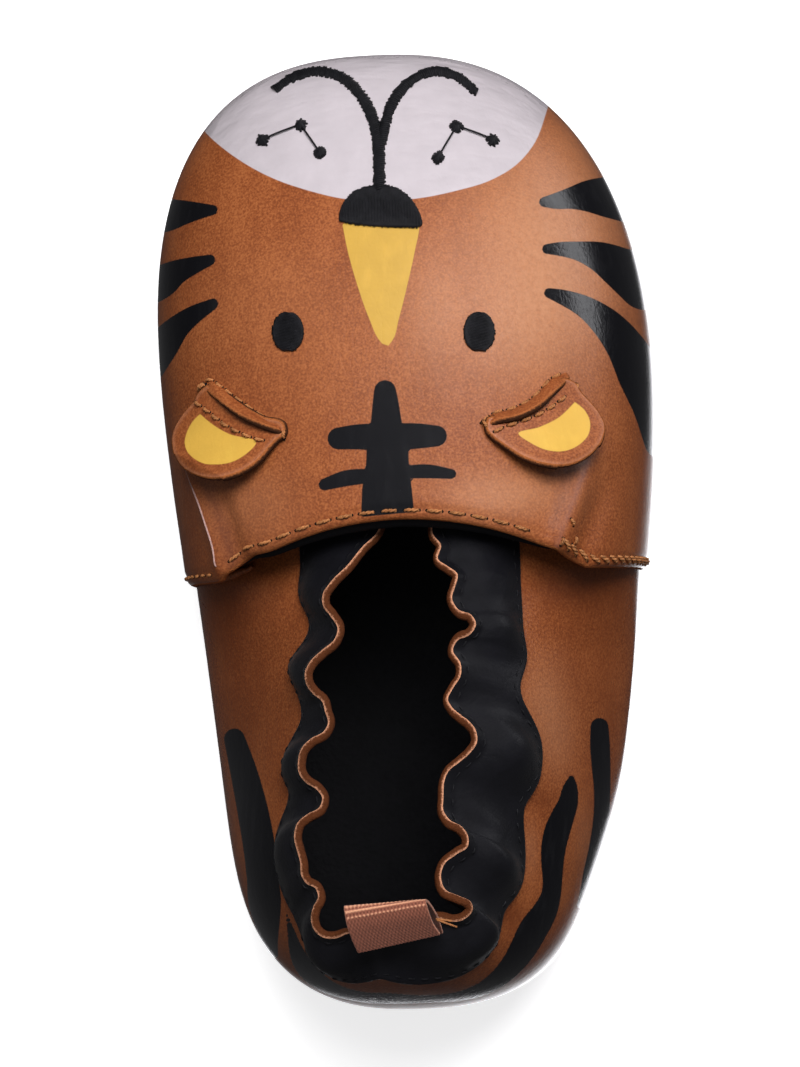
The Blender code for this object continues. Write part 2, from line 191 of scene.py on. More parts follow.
class PlanPath:
    """Plan line round the shoe. Rows: station (-1 heel to 1 toe), half width, middle."""

    def __init__(self, toe, heel, exponent, rows):
        self.toe = toe
        self.heel = heel
        self.exponent = exponent
        self.rows = np.array(rows, float)
        self.half_width = smooth_curve(self.rows[:, 0], self.rows[:, 1])
        self.centre = smooth_curve(self.rows[:, 0], self.rows[:, 2])

    def inset(self, distance):
        """The same line, drawn in by a distance."""
        rows = self.rows - np.array((0.0, distance, 0.0))
        return PlanPath(self.toe - distance, self.heel - distance, self.exponent, rows)

    def station(self, y):
        """Station of y, from -1 at the heel to 1 at the toe."""
        return np.where(y > 0, y / self.toe, y / self.heel)

    def half_at(self, y):
        """Half width and middle at y."""
        station = self.station(y)
        closing = np.maximum(0.0, 1.0 - np.abs(station) ** self.exponent) ** (1.0 / self.exponent)
        return self.half_width(station) * closing, self.centre(station)

    def point(self, turn):
        """Points at turns: 0 is the right side, a quarter turn is the toe."""
        across = signed_power(np.cos(turn), 2.0 / self.exponent)
        along = signed_power(np.sin(turn), 2.0 / self.exponent)
        x = self.centre(along) + self.half_width(along) * across
        y = along * np.where(along > 0, self.toe, self.heel)
        return np.stack((x, y), axis=-1)

    def turn_at(self, y, side):
        """Turn at which the line reaches y, on the right for a positive side."""
        station = np.clip(self.station(y), -1.0, 1.0)
        turn = np.arcsin(signed_power(station, self.exponent / 2.0))
        return np.where(side > 0, turn, math.pi - turn)

    def heel_round(self, front, count):
        """Evenly spaced points from the right front, round the heel, to the left front."""
        first = float(self.turn_at(np.float64(front), 1))
        return even_steps(self.point(np.linspace(first, -math.pi - first, HEEL_POINTS)), count)


BELLY = PlanPath(toe=TOE_REACH, heel=HEEL_REACH, exponent=2.5, rows=(
    (-1.00, 33.2, -0.9),
    (-0.80, 29.6, -1.2),
    (-0.50, 27.8, 0.0),
    (-0.15, 28.2, 0.4),
    (0.10, 29.7, 0.4),
    (0.30, 31.0, 0.1),
    (0.60, 33.0, -0.9),
    (1.00, 35.6, -2.6),
))
SEAM = PlanPath(toe=TOE_REACH, heel=55.8, exponent=2.5, rows=(
    (-1.00, 21.0, -1.8),
    (-0.80, 18.8, -1.8),
    (-0.50, 16.4, 0.4),
    (-0.25, 14.2, 0.8),
    (0.10, 13.2, 1.5),
))

# Heights of the collar's seam and free edge along the foot
COLLAR_STATIONS = (-56.0, -32.0, -12.0, 5.0)
SEAM_HEIGHT = smooth_curve(COLLAR_STATIONS, (34.5, 33.0, 31.0, 29.0))
EDGE_HEIGHT = smooth_curve(COLLAR_STATIONS, (43.0, 41.5, 39.0, 34.0))

# Surfaces of the last


def sole_lift(y):
    """Height of the sole's underside: arch and toe spring."""
    spring = np.maximum(y - TOE_SPRING_START, 0.0) / (TOE_REACH - TOE_SPRING_START)
    arch = np.clip((y - ARCH_BACK) / (ARCH_FRONT - ARCH_BACK), 0.0, 1.0)
    return TOE_SPRING * spring ** 2 + ARCH_LIFT * np.sin(math.pi * arch) ** 2


def vamp_height(x, y):
    """Height of the vamp's outer face over a plan position."""
    half, centre = BELLY.half_at(y)
    progress = np.clip((y - CROWN_BACK) / (TOE_REACH - CROWN_BACK), 0.0, 1.0)
    crown = (INSTEP_HEIGHT - BELLY_HEIGHT) * (1.0 - progress ** TOE_FULLNESS) ** (1.0 / TOE_ROUNDNESS)
    power = SECTION_AT_THROAT + (SECTION_AT_TOE - SECTION_AT_THROAT) * progress
    across = np.minimum(np.abs(x - centre) / np.maximum(half, TINY), 1.0)
    return BELLY_HEIGHT + crown * (1.0 - across ** power) ** (1.0 / power)


def throat_edge(across):
    """Y of the vamp's rear edge, from the side seams up over the throat."""
    spread = np.minimum(np.abs(across) / THROAT_SPREAD, 1.0)
    notch = LEFT_NOTCH * hump(across, NOTCH_PLACE, NOTCH_WIDTH)
    return VAMP_SIDE_EDGE + THROAT_RISE * (1.0 - spread * spread) + notch


def dome_points(a, b):
    """Vamp points for places in the unit half disc: b = 0 is the throat edge, radius 1 the belly."""
    radius = np.minimum(np.hypot(a, b), 1.0)
    angle = np.arctan2(b, a)
    reach = np.sin(radius * math.pi / 2)
    power = BELLY.exponent
    along = reach * np.maximum(np.sin(angle), 0.0) ** (2.0 / power)
    across = reach * signed_power(np.cos(angle), 2.0 / power)
    room = np.maximum(1.0 - along ** power, TINY) ** (1.0 / power)
    across = np.clip(across / room, -1.0, 1.0)
    y = throat_edge(across) + (TOE_REACH - throat_edge(across)) * along
    half, centre = BELLY.half_at(y)
    x = centre + half * across
    z = np.where(radius > 1.0 - TINY, BELLY_HEIGHT, vamp_height(x, y))
    return np.stack((x, y, z), axis=-1)


def turn_in_points(path, points, share, bottom_lift):
    """Points of the wall below the belly, drawn in towards the sole's edge as share goes to 1."""
    half, centre = path.half_at(points[:, 1])
    turn = path.turn_at(points[:, 1], points[:, 0] - centre)
    bend = share * math.pi / 2
    outer = path.point(turn)
    plan = outer + (path.inset(FEATHER_INSET).point(turn) - outer) * (1.0 - math.cos(bend))
    bottom = sole_lift(plan[:, 1]) + SOLE_THICKNESS + GAP + bottom_lift
    return np.column_stack((plan, BELLY_HEIGHT + (bottom - BELLY_HEIGHT) * math.sin(bend)))


# Camera, and places read from the photograph


def camera_axes():
    """Camera position and its right, up and forward directions."""
    toward = unit(np.array((math.tan(CAMERA_LEAN), -math.tan(CAMERA_PITCH), 1.0)))
    position = CAMERA_AIM + toward * CAMERA_DISTANCE
    up = np.array((math.sin(CAMERA_ROLL), math.cos(CAMERA_ROLL), 0.0))
    up = unit(up - toward * up.dot(toward))
    return position, np.cross(up, toward), up, -toward


CAMERA_PLACE, CAMERA_RIGHT, CAMERA_UP, CAMERA_FORWARD = camera_axes()
FOCAL_PIXELS = CAMERA_DISTANCE / MM_PER_PIXEL


def to_pixels(points):
    """Photograph pixels of points on the shoe."""
    ray = points - CAMERA_PLACE
    depth = ray @ CAMERA_FORWARD
    across = IMAGE_WIDTH / 2 + FOCAL_PIXELS * (ray @ CAMERA_RIGHT) / depth
    down = IMAGE_HEIGHT / 2 - FOCAL_PIXELS * (ray @ CAMERA_UP) / depth
    return np.stack((across, down), axis=-1)


def at_height(pixels, height):
    """Points under photograph pixels at given heights."""
    pixels = np.asarray(pixels, float)
    across = (pixels[..., :1] - IMAGE_WIDTH / 2) / FOCAL_PIXELS
    down = (pixels[..., 1:2] - IMAGE_HEIGHT / 2) / FOCAL_PIXELS
    ray = CAMERA_FORWARD + across * CAMERA_RIGHT - down * CAMERA_UP
    return CAMERA_PLACE + ray * ((np.asarray(height)[..., None] - CAMERA_PLACE[2]) / ray[..., 2:3])


def on_vamp(pixels):
    """Points of the vamp's outer face under photograph pixels."""
    pixels = np.asarray(pixels, float)
    height = np.full(pixels.shape[:-1], FIRST_HEIGHT)
    for repeat in range(FACE_REPEATS):
        points = at_height(pixels, height)
        height = 0.5 * height + 0.5 * vamp_height(points[..., 0], points[..., 1])
    return at_height(pixels, height)


def vamp_normals(points):
    """Directions out of the smooth vamp."""
    x, y = points[..., 0], points[..., 1]
    slope_x = (vamp_height(x + PROBE, y) - vamp_height(x - PROBE, y)) / (2 * PROBE)
    slope_y = (vamp_height(x, y + PROBE) - vamp_height(x, y - PROBE)) / (2 * PROBE)
    return unit(np.stack((-slope_x, -slope_y, np.ones_like(x)), axis=-1))


# Mesh helpers


def grid_quads(rows, columns, start=0):
    """Quads of a grid whose vertices are stored row by row."""
    index = start + np.arange(rows * columns).reshape(rows, columns)
    corners = (index[:-1, :-1], index[:-1, 1:], index[1:, 1:], index[1:, :-1])
    return np.stack([corner.ravel() for corner in corners], axis=1)


def disc_places(u, v):
    """Places in the unit disc for places in the square round it."""
    return u * np.sqrt(1 - v * v / 2), v * np.sqrt(1 - u * u / 2)


def full_disc(cells):
    """Places that fill the unit disc."""
    steps = np.linspace(-1, 1, cells + 1)
    return disc_places(*np.meshgrid(steps, steps))


def point_normals(points, quads):
    """Smooth normals of a quad mesh."""
    first = points[quads[:, 2]] - points[quads[:, 0]]
    second = points[quads[:, 3]] - points[quads[:, 1]]
    faces = np.cross(first, second)
    normals = np.zeros_like(points)
    for corner in range(4):
        np.add.at(normals, quads[:, corner], faces)
    return unit(normals)


def border_edges(quads):
    """Edges that only one quad has, as that quad runs them."""
    edges = np.concatenate([quads[:, (k, (k + 1) % 4)] for k in range(4)])
    keys = np.sort(edges, axis=1)
    order, first, counts = np.unique(keys, axis=0, return_index=True, return_counts=True)
    return edges[first[counts == 1]]


OUTSIDE, RIM, LINING = 0, 1, 2
RIM_STEPS = 5
USUAL_ROUND = 0.6


def shell(points, quads, wall, rim_round=USUAL_ROUND, hemmed=None):
    """Closed wall behind a surface, its free edges rounded, cut or, at the hemmed points, folded.

    Returns points, quads, material places, and each point's depth from 0 outside to 1 inside.
    """
    normals = point_normals(points, quads)
    inner = points - normals * wall
    border = border_edges(quads)
    outward = np.zeros_like(points)
    along = points[border[:, 1]] - points[border[:, 0]]
    sideways = np.cross(along, normals[border[:, 0]])
    for end in range(2):
        np.add.at(outward, border[:, end], sideways)
    outward = unit(outward)
    rim = np.unique(border)
    slot = np.full(len(points), -1)
    slot[rim] = np.arange(len(rim))
    middle = (points[rim] + inner[rim]) / 2
    blocks = [points, inner]
    depths = [np.zeros(len(points)), np.ones(len(points))]
    rings = [np.arange(len(points))]
    for step in range(1, RIM_STEPS):
        turn = math.pi * step / RIM_STEPS
        swing = normals[rim] * math.cos(turn) + outward[rim] * rim_round * math.sin(turn)
        rings.append(slot + sum(len(block) for block in blocks))
        blocks.append(middle + swing * wall / 2)
        depths.append(np.full(len(rim), step / RIM_STEPS))
    rings.append(np.arange(len(points)) + len(points))
    faces = [quads]
    first, second = border[:, 0], border[:, 1]
    for upper, lower in zip(rings, rings[1:]):
        faces.append(np.stack((upper[second], upper[first], lower[first], lower[second]), axis=1))
    faces.append(quads[:, ::-1] + len(points))
    edge = np.full(len(border), RIM)
    if hemmed is not None:
        edge[hemmed[first] & hemmed[second]] = OUTSIDE
    places = np.concatenate((
        np.full(len(quads), OUTSIDE),
        np.tile(edge, RIM_STEPS),
        np.full(len(quads), LINING),
    ))
    return np.concatenate(blocks), np.concatenate(faces), places, np.concatenate(depths)


def new_object(name, data):
    """Object in the scene that shows a mesh, light or camera."""
    made = bpy.data.objects.new(name, data)
    bpy.context.scene.collection.objects.link(made)
    return made


def make_piece(name, points, faces, materials, places=None):
    """Mesh object from points in millimetres, riding on the shoe."""
    mesh = bpy.data.meshes.new(name)
    mesh.from_pydata((np.asarray(points) * MM).tolist(), [], np.asarray(faces).tolist())
    for material in materials:
        mesh.materials.append(material)
    if places is not None:
        mesh.polygons.foreach_set("material_index", np.asarray(places, np.int32))
    mesh.shade_smooth()
    piece = new_object(name, mesh)
    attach(piece, "root")
    return piece


FAR_OUTSIDE = -50.0
DISCS_PER_STRIPE = 90


def set_values(piece, name, values):
    """Store one number for each vertex. Those past the given ones lie far outside any print."""
    data = np.full(len(piece.data.vertices), FAR_OUTSIDE, np.float32)
    data[:len(values)] = values
    piece.data.attributes.new(name, "FLOAT", "POINT").data.foreach_set("value", data)


def make_wall(name, outer, quads, materials, wall, rim_round=USUAL_ROUND, hemmed=None):
    """Piece with a wall behind its surface. Materials: outside, rim and lining."""
    points, faces, places, depth = shell(outer, quads, wall, rim_round, hemmed)
    piece = make_piece(name, points, faces, materials, places)
    set_values(piece, "depth", depth)
    return piece


# Distances into printed shapes, in photograph pixels, positive inside


def into_chain(pixels, chain):
    """Distance into a stripe. Rows of the chain: x, y, half width."""
    discs = spline_through(chain, DISCS_PER_STRIPE)
    best = np.full(len(pixels), FAR_OUTSIDE)
    for x, y, radius in discs:
        best = np.maximum(best, radius - np.hypot(pixels[:, 0] - x, pixels[:, 1] - y))
    return best


def into_outline(pixels, outline):
    """Distance into a closed outline."""
    outline = np.asarray(outline, float)
    inside = np.zeros(len(pixels), bool)
    nearest = np.full(len(pixels), -FAR_OUTSIDE)
    for start, end in zip(outline, np.roll(outline, -1, axis=0)):
        run = end - start
        share = np.clip((pixels - start) @ run / max(run @ run, TINY), 0.0, 1.0)
        gap = pixels - start - share[:, None] * run
        nearest = np.minimum(nearest, np.hypot(gap[:, 0], gap[:, 1]))
        crosses = (start[1] > pixels[:, 1]) != (end[1] > pixels[:, 1])
        rise = run[1] if abs(run[1]) > TINY else TINY
        inside ^= crosses & (pixels[:, 0] < start[0] + (pixels[:, 1] - start[1]) * run[0] / rise)
    return np.where(inside, nearest, -nearest)


# Finishes


def scaled(colour, factor):
    """A colour made darker or lighter."""
    return tuple(factor * part for part in colour)


def fill_ramp(ramp, stops):
    """Set the places and colours of a colour ramp."""
    for place, colour in stops[1:-1]:
        ramp.elements.new(place)
    for point, (place, colour) in zip(ramp.elements, stops):
        point.position = place
        point.color = (*colour, 1.0)


class Finish:
    """One material, its node tree built from short calls. Sizes are in millimetres."""

    def __init__(self, name, settings):
        self.material = bpy.data.materials.new(name)
        self.material.use_nodes = True
        self.tree = self.material.node_tree
        self.tree.nodes.clear()
        self.surface = self.tree.nodes.new("ShaderNodeBsdfPrincipled")
        output = self.tree.nodes.new("ShaderNodeOutputMaterial")
        self.tree.links.new(self.surface.outputs["BSDF"], output.inputs["Surface"])
        self.place = self.tree.nodes.new("ShaderNodeTexCoord").outputs["Object"]
        for socket, value in settings.items():
            self.surface.inputs[socket].default_value = value

    def node(self, kind, inputs, **settings):
        """New node. Inputs are values or other nodes' outputs."""
        node = self.tree.nodes.new(kind)
        for name, value in settings.items():
            setattr(node, name, value)
        for socket, value in inputs.items():
            if isinstance(value, bpy.types.NodeSocket):
                self.tree.links.new(value, node.inputs[socket])
            else:
                node.inputs[socket].default_value = value
        return node

    def stretched(self, stretch, turn):
        """Places for a pattern that is squeezed along each axis and turned."""
        inputs = {"Vector": self.place, "Scale": stretch, "Rotation": turn}
        return self.node("ShaderNodeMapping", inputs).outputs[0]

    def noise(self, size, detail=2.0, place=None, distortion=0.0):
        """Clouds of a given size."""
        inputs = {"Vector": place or self.place, "Scale": 1 / (size * MM), "Detail": detail}
        return self.node("ShaderNodeTexNoise", {**inputs, "Distortion": distortion}).outputs[0]

    def cells(self, size, place=None, feature="F1"):
        """Distance pattern of cells of a given size."""
        inputs = {"Vector": place or self.place, "Scale": 1 / (size * MM)}
        return self.node("ShaderNodeTexVoronoi", inputs, feature=feature).outputs["Distance"]

    def value(self, name):
        """A number stored on the mesh."""
        return self.node("ShaderNodeAttribute", {}, attribute_name=name).outputs["Fac"]

    def level(self, value, low, high):
        """Smooth step of a value from 0 at low to 1 at high."""
        inputs = {"Value": value, "From Min": low, "From Max": high}
        return self.node("ShaderNodeMapRange", inputs, interpolation_type="SMOOTHSTEP").outputs[0]

    def span(self, value, low, high):
        """A pattern from 0 to 1, brought into a range."""
        return self.node("ShaderNodeMapRange", {"Value": value, "To Min": low, "To Max": high}).outputs[0]

    def calc(self, operation, first, second):
        """Sum or product of two numbers."""
        return self.node("ShaderNodeMath", {0: first, 1: second}, operation=operation).outputs[0]

    def mixture(self, *parts):
        """Patterns added up, each by its weight."""
        total = 0.0
        for pattern, weight in parts:
            total = self.calc("ADD", total, self.calc("MULTIPLY", pattern, weight))
        return total

    def between(self, share, first, second):
        """Numbers mixed by a share."""
        return self.node("ShaderNodeMix", {0: share, 2: first, 3: second}).outputs[0]

    def brightened(self, colour, factor):
        """A colour times a pattern."""
        return self.node("ShaderNodeVectorMath", {0: colour, "Scale": factor}, operation="SCALE").outputs[0]

    def blend(self, share, first, second):
        """Colours mixed by a share."""
        colours = [one if isinstance(one, bpy.types.NodeSocket) else (*one, 1.0) for one in (first, second)]
        inputs = {0: share, 6: colours[0], 7: colours[1]}
        return self.node("ShaderNodeMix", inputs, data_type="RGBA").outputs[2]

    def ramp(self, value, stops):
        """Colour read from a short table of places and colours."""
        node = self.node("ShaderNodeValToRGB", {"Fac": value})
        fill_ramp(node.color_ramp, stops)
        return node.outputs["Color"]

    def toned(self, pattern, colour, dark, light, spread):
        """One colour, made darker and lighter by a pattern."""
        low, high = (0.5 - spread, scaled(colour, dark)), (0.5 + spread, scaled(colour, light))
        return self.ramp(pattern, (low, (0.5, colour), high))

    def bump(self, height, depth, under=None, strength=1.0):
        """Normal of a relief of a given depth, over another one."""
        inputs = {"Height": height, "Distance": depth * MM, "Strength": strength}
        if under is not None:
            inputs["Normal"] = under
        return self.node("ShaderNodeBump", inputs).outputs["Normal"]

    def use(self, **sockets):
        """Link outputs to the surface. Underscores stand for spaces in socket names."""
        for socket, output in sockets.items():
            self.tree.links.new(output, self.surface.inputs[socket.replace("_", " ")])
        return self.material


PRINT_EDGE = 0.6
TAN_DARK = (0.215, 0.054, 0.0150)
TAN_MIDDLE = (0.305, 0.084, 0.0235)
TAN_LIGHT = (0.405, 0.128, 0.0390)
# Painted sheen: a paler tan laid where broad highlights fall on the leather
TAN_SHEEN = (0.600, 0.285, 0.150)
# Painted shade: dark brown laid on the fold walls and beside the folds, where shade falls
FOLD_SHADE_BROWN = (0.105, 0.032, 0.019)
# Painted highlight: pale colour of the thin tube along the left fold's crease
FOLD_HIGHLIGHT_PALE = (0.480, 0.300, 0.270)
# Painted highlight: mauve sheen along the soft right ridge
RIDGE_SHEEN_MAUVE = (0.240, 0.120, 0.105)
# Painted shade on the heel panel
HEEL_SHADE_BROWN = (0.140, 0.031, 0.0080)
PRINT_BLACK = (0.0045, 0.0045, 0.0062)
PRINT_WHITE = (0.56, 0.51, 0.545)
PRINT_YELLOW = (0.60, 0.36, 0.060)
# Painted light: the vamp's yellow print, made lighter on the ears, which lie in shade
EAR_YELLOW_LIT = (0.72, 0.43, 0.070)
EDGE_LIGHT = (0.70, 0.330, 0.190)
EDGE_DARK = (0.095, 0.028, 0.0095)
EDGE_BROWN = (0.26, 0.085, 0.028)
# Dark cut edge of the ears and lips, made darker as painted shade in the gap beneath them
EDGE_BLACK_AND_SHADE = (0.046, 0.017, 0.008)
LINING_BLACK = (0.0045, 0.0045, 0.0055)
COLLAR_BLACK = (0.0065, 0.0065, 0.0090)
THREAD_GOLD = (0.42, 0.170, 0.060)
THREAD_BLACK = (0.0085, 0.0085, 0.0105)
WEBBING_BROWN = (0.30, 0.105, 0.066)
WEBBING_PALE = (0.80, 0.400, 0.240)
SUEDE_BROWN = (0.20, 0.085, 0.040)


# Patterns of the leather: sizes, how they are stretched and turned, weights and depths

SPECK_SIZE = 0.27
CLOUD_SIZE = 7.0
STREAK_SIZE = 3.2
STREAK_STRETCH = (1.0, 0.30, 0.45)
STREAK_TURN = (0.0, 0.0, 0.35)
SPECK_WEIGHT = 0.70
CLOUD_WEIGHT = 0.15
STREAK_WEIGHT = 0.15
TAN_STOPS = ((0.39, TAN_DARK), (0.50, TAN_MIDDLE), (0.61, TAN_LIGHT))
PEBBLE_SIZE = 0.55
PEBBLE_WEIGHT = 0.5
WRINKLE_SIZE = 2.2
WRINKLE_STRETCH = (1.0, 0.35, 1.0)
WRINKLE_TURN = (0.0, 0.0, 0.5)
GRAIN_DEPTH = 0.035
PORE_SIZE = 0.30
PORE_DEPTH = 0.014
CRACK_SIZE = 1.1
CRACK_STRETCH = (1.0, 0.45, 1.0)
CRACK_TURN = (0.0, 0.0, 0.45)
CRACK_WIDTH = 0.12
CRACK_DEPTH = 0.008
GLOSS_SIZE = 1.3
USUAL_GLOSS = (0.36, 0.58)
RIM_ROUGHNESS = 0.16
RIM_RELIEF = 0.25

# Tints, most of them painted sheen and shade, and prints on the leather

TINT_SPECK = 0.6
TINT_RANGE = (0.55, 1.45)
PRINT_CLOUD = 3.0
PRINT_RANGE = (0.90, 1.10)
PRINTED_RELIEF = 0.65
GLINT_SIZE = 1.3
GLINT_STRETCH = (1.0, 0.22, 1.0)
GLINT_TURN = (0.0, 0.0, 0.25)
GLINT_RANGE = (0.50, 0.72)
GLINT_GAIN = 1.45
GLINT_LIFT = 0.012
GLINT_LIMIT = 0.9
WEAR_SIZE = 0.8
WEAR_BELOW = 0.08
WEAR_ABOVE = 0.10
BRUSH_SIZE = 2.6
BRUSH_STRETCH = (0.45, 1.0, 1.0)
BRUSH_TURN = (0.0, 0.0, 0.5)
BRUSH_DEPTH = 0.34


def tan_colour(finish):
    """Mottled tan: fine specks over soft clouds and streaks drawn along the foot."""
    specks = finish.noise(SPECK_SIZE, detail=3.0)
    clouds = finish.noise(CLOUD_SIZE, detail=3.0, distortion=0.5)
    streaks = finish.noise(STREAK_SIZE, detail=3.0, place=finish.stretched(STREAK_STRETCH, STREAK_TURN))
    mottle = finish.mixture((specks, SPECK_WEIGHT), (clouds, CLOUD_WEIGHT), (streaks, STREAK_WEIGHT))
    return finish.ramp(mottle, TAN_STOPS)


def leather_grain(finish):
    """Height of a fine pebbled grain with faint pulled wrinkles."""
    drawn = finish.stretched(WRINKLE_STRETCH, WRINKLE_TURN)
    wrinkles = finish.noise(WRINKLE_SIZE, detail=4.0, place=drawn)
    return finish.mixture((finish.cells(PEBBLE_SIZE), PEBBLE_WEIGHT), (wrinkles, 1.0))


def print_share(finish, name):
    """How far a printed shape covers the leather."""
    return finish.level(finish.value(name), -PRINT_EDGE, PRINT_EDGE)


def printed_tone(finish, shade, glint):
    """Colour of a print, cloudy and with a share of drawn-out glints."""
    tone = finish.brightened(shade, finish.span(finish.noise(PRINT_CLOUD, detail=3.0), *PRINT_RANGE))
    streaks = finish.noise(GLINT_SIZE, detail=4.0, place=finish.stretched(GLINT_STRETCH, GLINT_TURN))
    glints = finish.calc("MULTIPLY", finish.level(streaks, *GLINT_RANGE), glint)
    bright = tuple(min(GLINT_GAIN * part + GLINT_LIFT, GLINT_LIMIT) for part in shade)
    return finish.blend(glints, tone, bright)


def printed_leather(name, shapes, tints, gloss_range=USUAL_GLOSS, brushed=None):
    """Tan leather with soft tints, most of them painted sheen, shade and highlights, and printed shapes, one
    of them perhaps brushed on.

    Rows of tints: value name, colour, cover. Rows of shapes: value name, colour, roughness, share of glints.
    """
    finish = Finish(name, {"Specular IOR Level": 0.50})
    colour = tan_colour(finish)
    rough = finish.span(finish.noise(GLOSS_SIZE, detail=3.0), *gloss_range)
    for tint, shade, cover in tints:
        broken = finish.span(finish.noise(TINT_SPECK, detail=3.0), *TINT_RANGE)
        share = finish.calc("MULTIPLY", finish.calc("MULTIPLY", finish.value(tint), broken), cover)
        colour = finish.blend(share, colour, shade)
    relief_left = finish.span(finish.value("polish"), 1.0, RIM_RELIEF)
    for shape, shade, gloss, glint in shapes:
        share = print_share(finish, shape)
        colour = finish.blend(share, colour, printed_tone(finish, shade, glint))
        worn = finish.span(finish.noise(WEAR_SIZE, detail=4.0), gloss - WEAR_BELOW, gloss + WEAR_ABOVE)
        rough = finish.between(share, rough, worn)
        relief_left = finish.calc("MULTIPLY", relief_left, finish.span(share, 1.0, PRINTED_RELIEF))
    rough = finish.between(finish.value("polish"), rough, RIM_ROUGHNESS)
    drawn = finish.stretched(CRACK_STRETCH, CRACK_TURN)
    cracks = finish.cells(CRACK_SIZE, place=drawn, feature="DISTANCE_TO_EDGE")
    relief = finish.bump(finish.noise(PORE_SIZE), PORE_DEPTH, strength=relief_left)
    relief = finish.bump(leather_grain(finish), GRAIN_DEPTH, relief, relief_left)
    relief = finish.bump(finish.level(cracks, 0.0, CRACK_WIDTH), CRACK_DEPTH, relief, relief_left)
    if brushed:
        strokes = finish.noise(BRUSH_SIZE, place=finish.stretched(BRUSH_STRETCH, BRUSH_TURN))
        relief = finish.bump(strokes, BRUSH_DEPTH, relief, print_share(finish, brushed))
    return finish.use(Base_Color=colour, Roughness=rough, Normal=relief)


# Patterns of cloth, cut edges, thread and the black collar. Tones: darkest, lightest, spread

CLOTH_CLOUDS = 12
CLOTH_WEIGHTS = (0.6, 0.4)
CLOTH_TONES = (0.65, 1.30, 0.18)
FIBRE_SIZE = 0.22
FIBRE_SPREAD = 0.22
FIBRE_DEPTH = 0.15
EDGE_CHANGE = (0.38, 0.72)
EDGE_SPECK = 0.35
EDGE_RANGE = (0.65, 1.30)
STRAND_SIZE = 0.09
STRAND_DEPTH = 0.05
STRAND_RUN = 0.7
STRAND_TONES = (0.45, 1.45, 0.16)
COLLAR_GRAIN = 0.35
COLLAR_GRAIN_DEPTH = 0.025
COLLAR_WRINKLE = 3.2
COLLAR_WRINKLE_DEPTH = 0.14
# Darker where the wrinkles dip: painted shade
COLLAR_WRINKLE_SHADE_STOPS = ((0.3, scaled(COLLAR_BLACK, 0.7)), (0.7, COLLAR_BLACK))
COLLAR_GLOSS = (0.40, 0.60)


def plain_cloth(name, colour, rough, gloss, size, depth, sheen=0.0):
    """Woven or napped cloth of one colour."""
    finish = Finish(name, {"Roughness": rough, "Specular IOR Level": gloss, "Sheen Weight": sheen})
    fine = finish.noise(size, detail=3.0)
    soft = finish.noise(size * CLOTH_CLOUDS)
    mottle = finish.mixture(*zip((fine, soft), CLOTH_WEIGHTS))
    return finish.use(Base_Color=finish.toned(mottle, colour, *CLOTH_TONES), Normal=finish.bump(fine, depth))


def raw_edge(name, outer, inner, change=EDGE_CHANGE):
    """Cut edge of leather: a lighter face outside, fibres inside. Change is where the one gives way."""
    finish = Finish(name, {"Roughness": 0.85, "Specular IOR Level": 0.2})
    fibres = finish.noise(FIBRE_SIZE, detail=4.0)
    ragged = finish.calc("ADD", finish.value("depth"), finish.span(fibres, -FIBRE_SPREAD, FIBRE_SPREAD))
    tone = finish.blend(finish.level(ragged, *change), outer, inner)
    shade = finish.brightened(tone, finish.span(finish.noise(EDGE_SPECK, detail=3.0), *EDGE_RANGE))
    return finish.use(Base_Color=shade, Normal=finish.bump(fibres, FIBRE_DEPTH))


def thread(name, colour, rough, gloss):
    """Spun thread, streaked by its fibres."""
    finish = Finish(name, {"Roughness": rough, "Specular IOR Level": gloss})
    fibres = finish.noise(STRAND_SIZE)
    tone = finish.mixture((fibres, 0.5), (finish.noise(STRAND_RUN), 0.5))
    shade = finish.toned(tone, colour, *STRAND_TONES)
    return finish.use(Base_Color=shade, Normal=finish.bump(fibres, STRAND_DEPTH))


def gathered_leather(name):
    """Soft black leather of the collar, with small wrinkles, a little darker in their hollows as painted
    shade.
    """
    finish = Finish(name, {"Specular IOR Level": 0.24, "Sheen Weight": 0.03, "Sheen Roughness": 0.5})
    fine = finish.noise(COLLAR_GRAIN, detail=3.0)
    wrinkles = finish.noise(COLLAR_WRINKLE, detail=3.0, distortion=0.6)
    shade = finish.ramp(wrinkles, COLLAR_WRINKLE_SHADE_STOPS)
    relief = finish.bump(wrinkles, COLLAR_WRINKLE_DEPTH, finish.bump(fine, COLLAR_GRAIN_DEPTH))
    return finish.use(Base_Color=shade, Roughness=finish.span(fine, *COLLAR_GLOSS), Normal=relief)


VAMP_PRINTS = (
    ("muzzle", PRINT_WHITE, 0.40, 0.04),
    ("yellow", PRINT_YELLOW, 0.44, 0.14),
    ("stripes", PRINT_BLACK, 0.22, 0.22),
)
# Vamp tints: painted sheen, painted shade on and beside the folds, and a painted highlight on the right ridge
VAMP_TINTS = (
    ("painted_sheen", TAN_SHEEN, 1.0), ("fold_shade", FOLD_SHADE_BROWN, 0.60), ("fold_wall_shade", FOLD_SHADE_BROWN, 0.16),
    ("right_shade", FOLD_SHADE_BROWN, 0.40), ("right_ridge_sheen", RIDGE_SHEEN_MAUVE, 0.50),
)
VAMP_LEATHER = printed_leather("printed_leather", VAMP_PRINTS, VAMP_TINTS, brushed="muzzle")
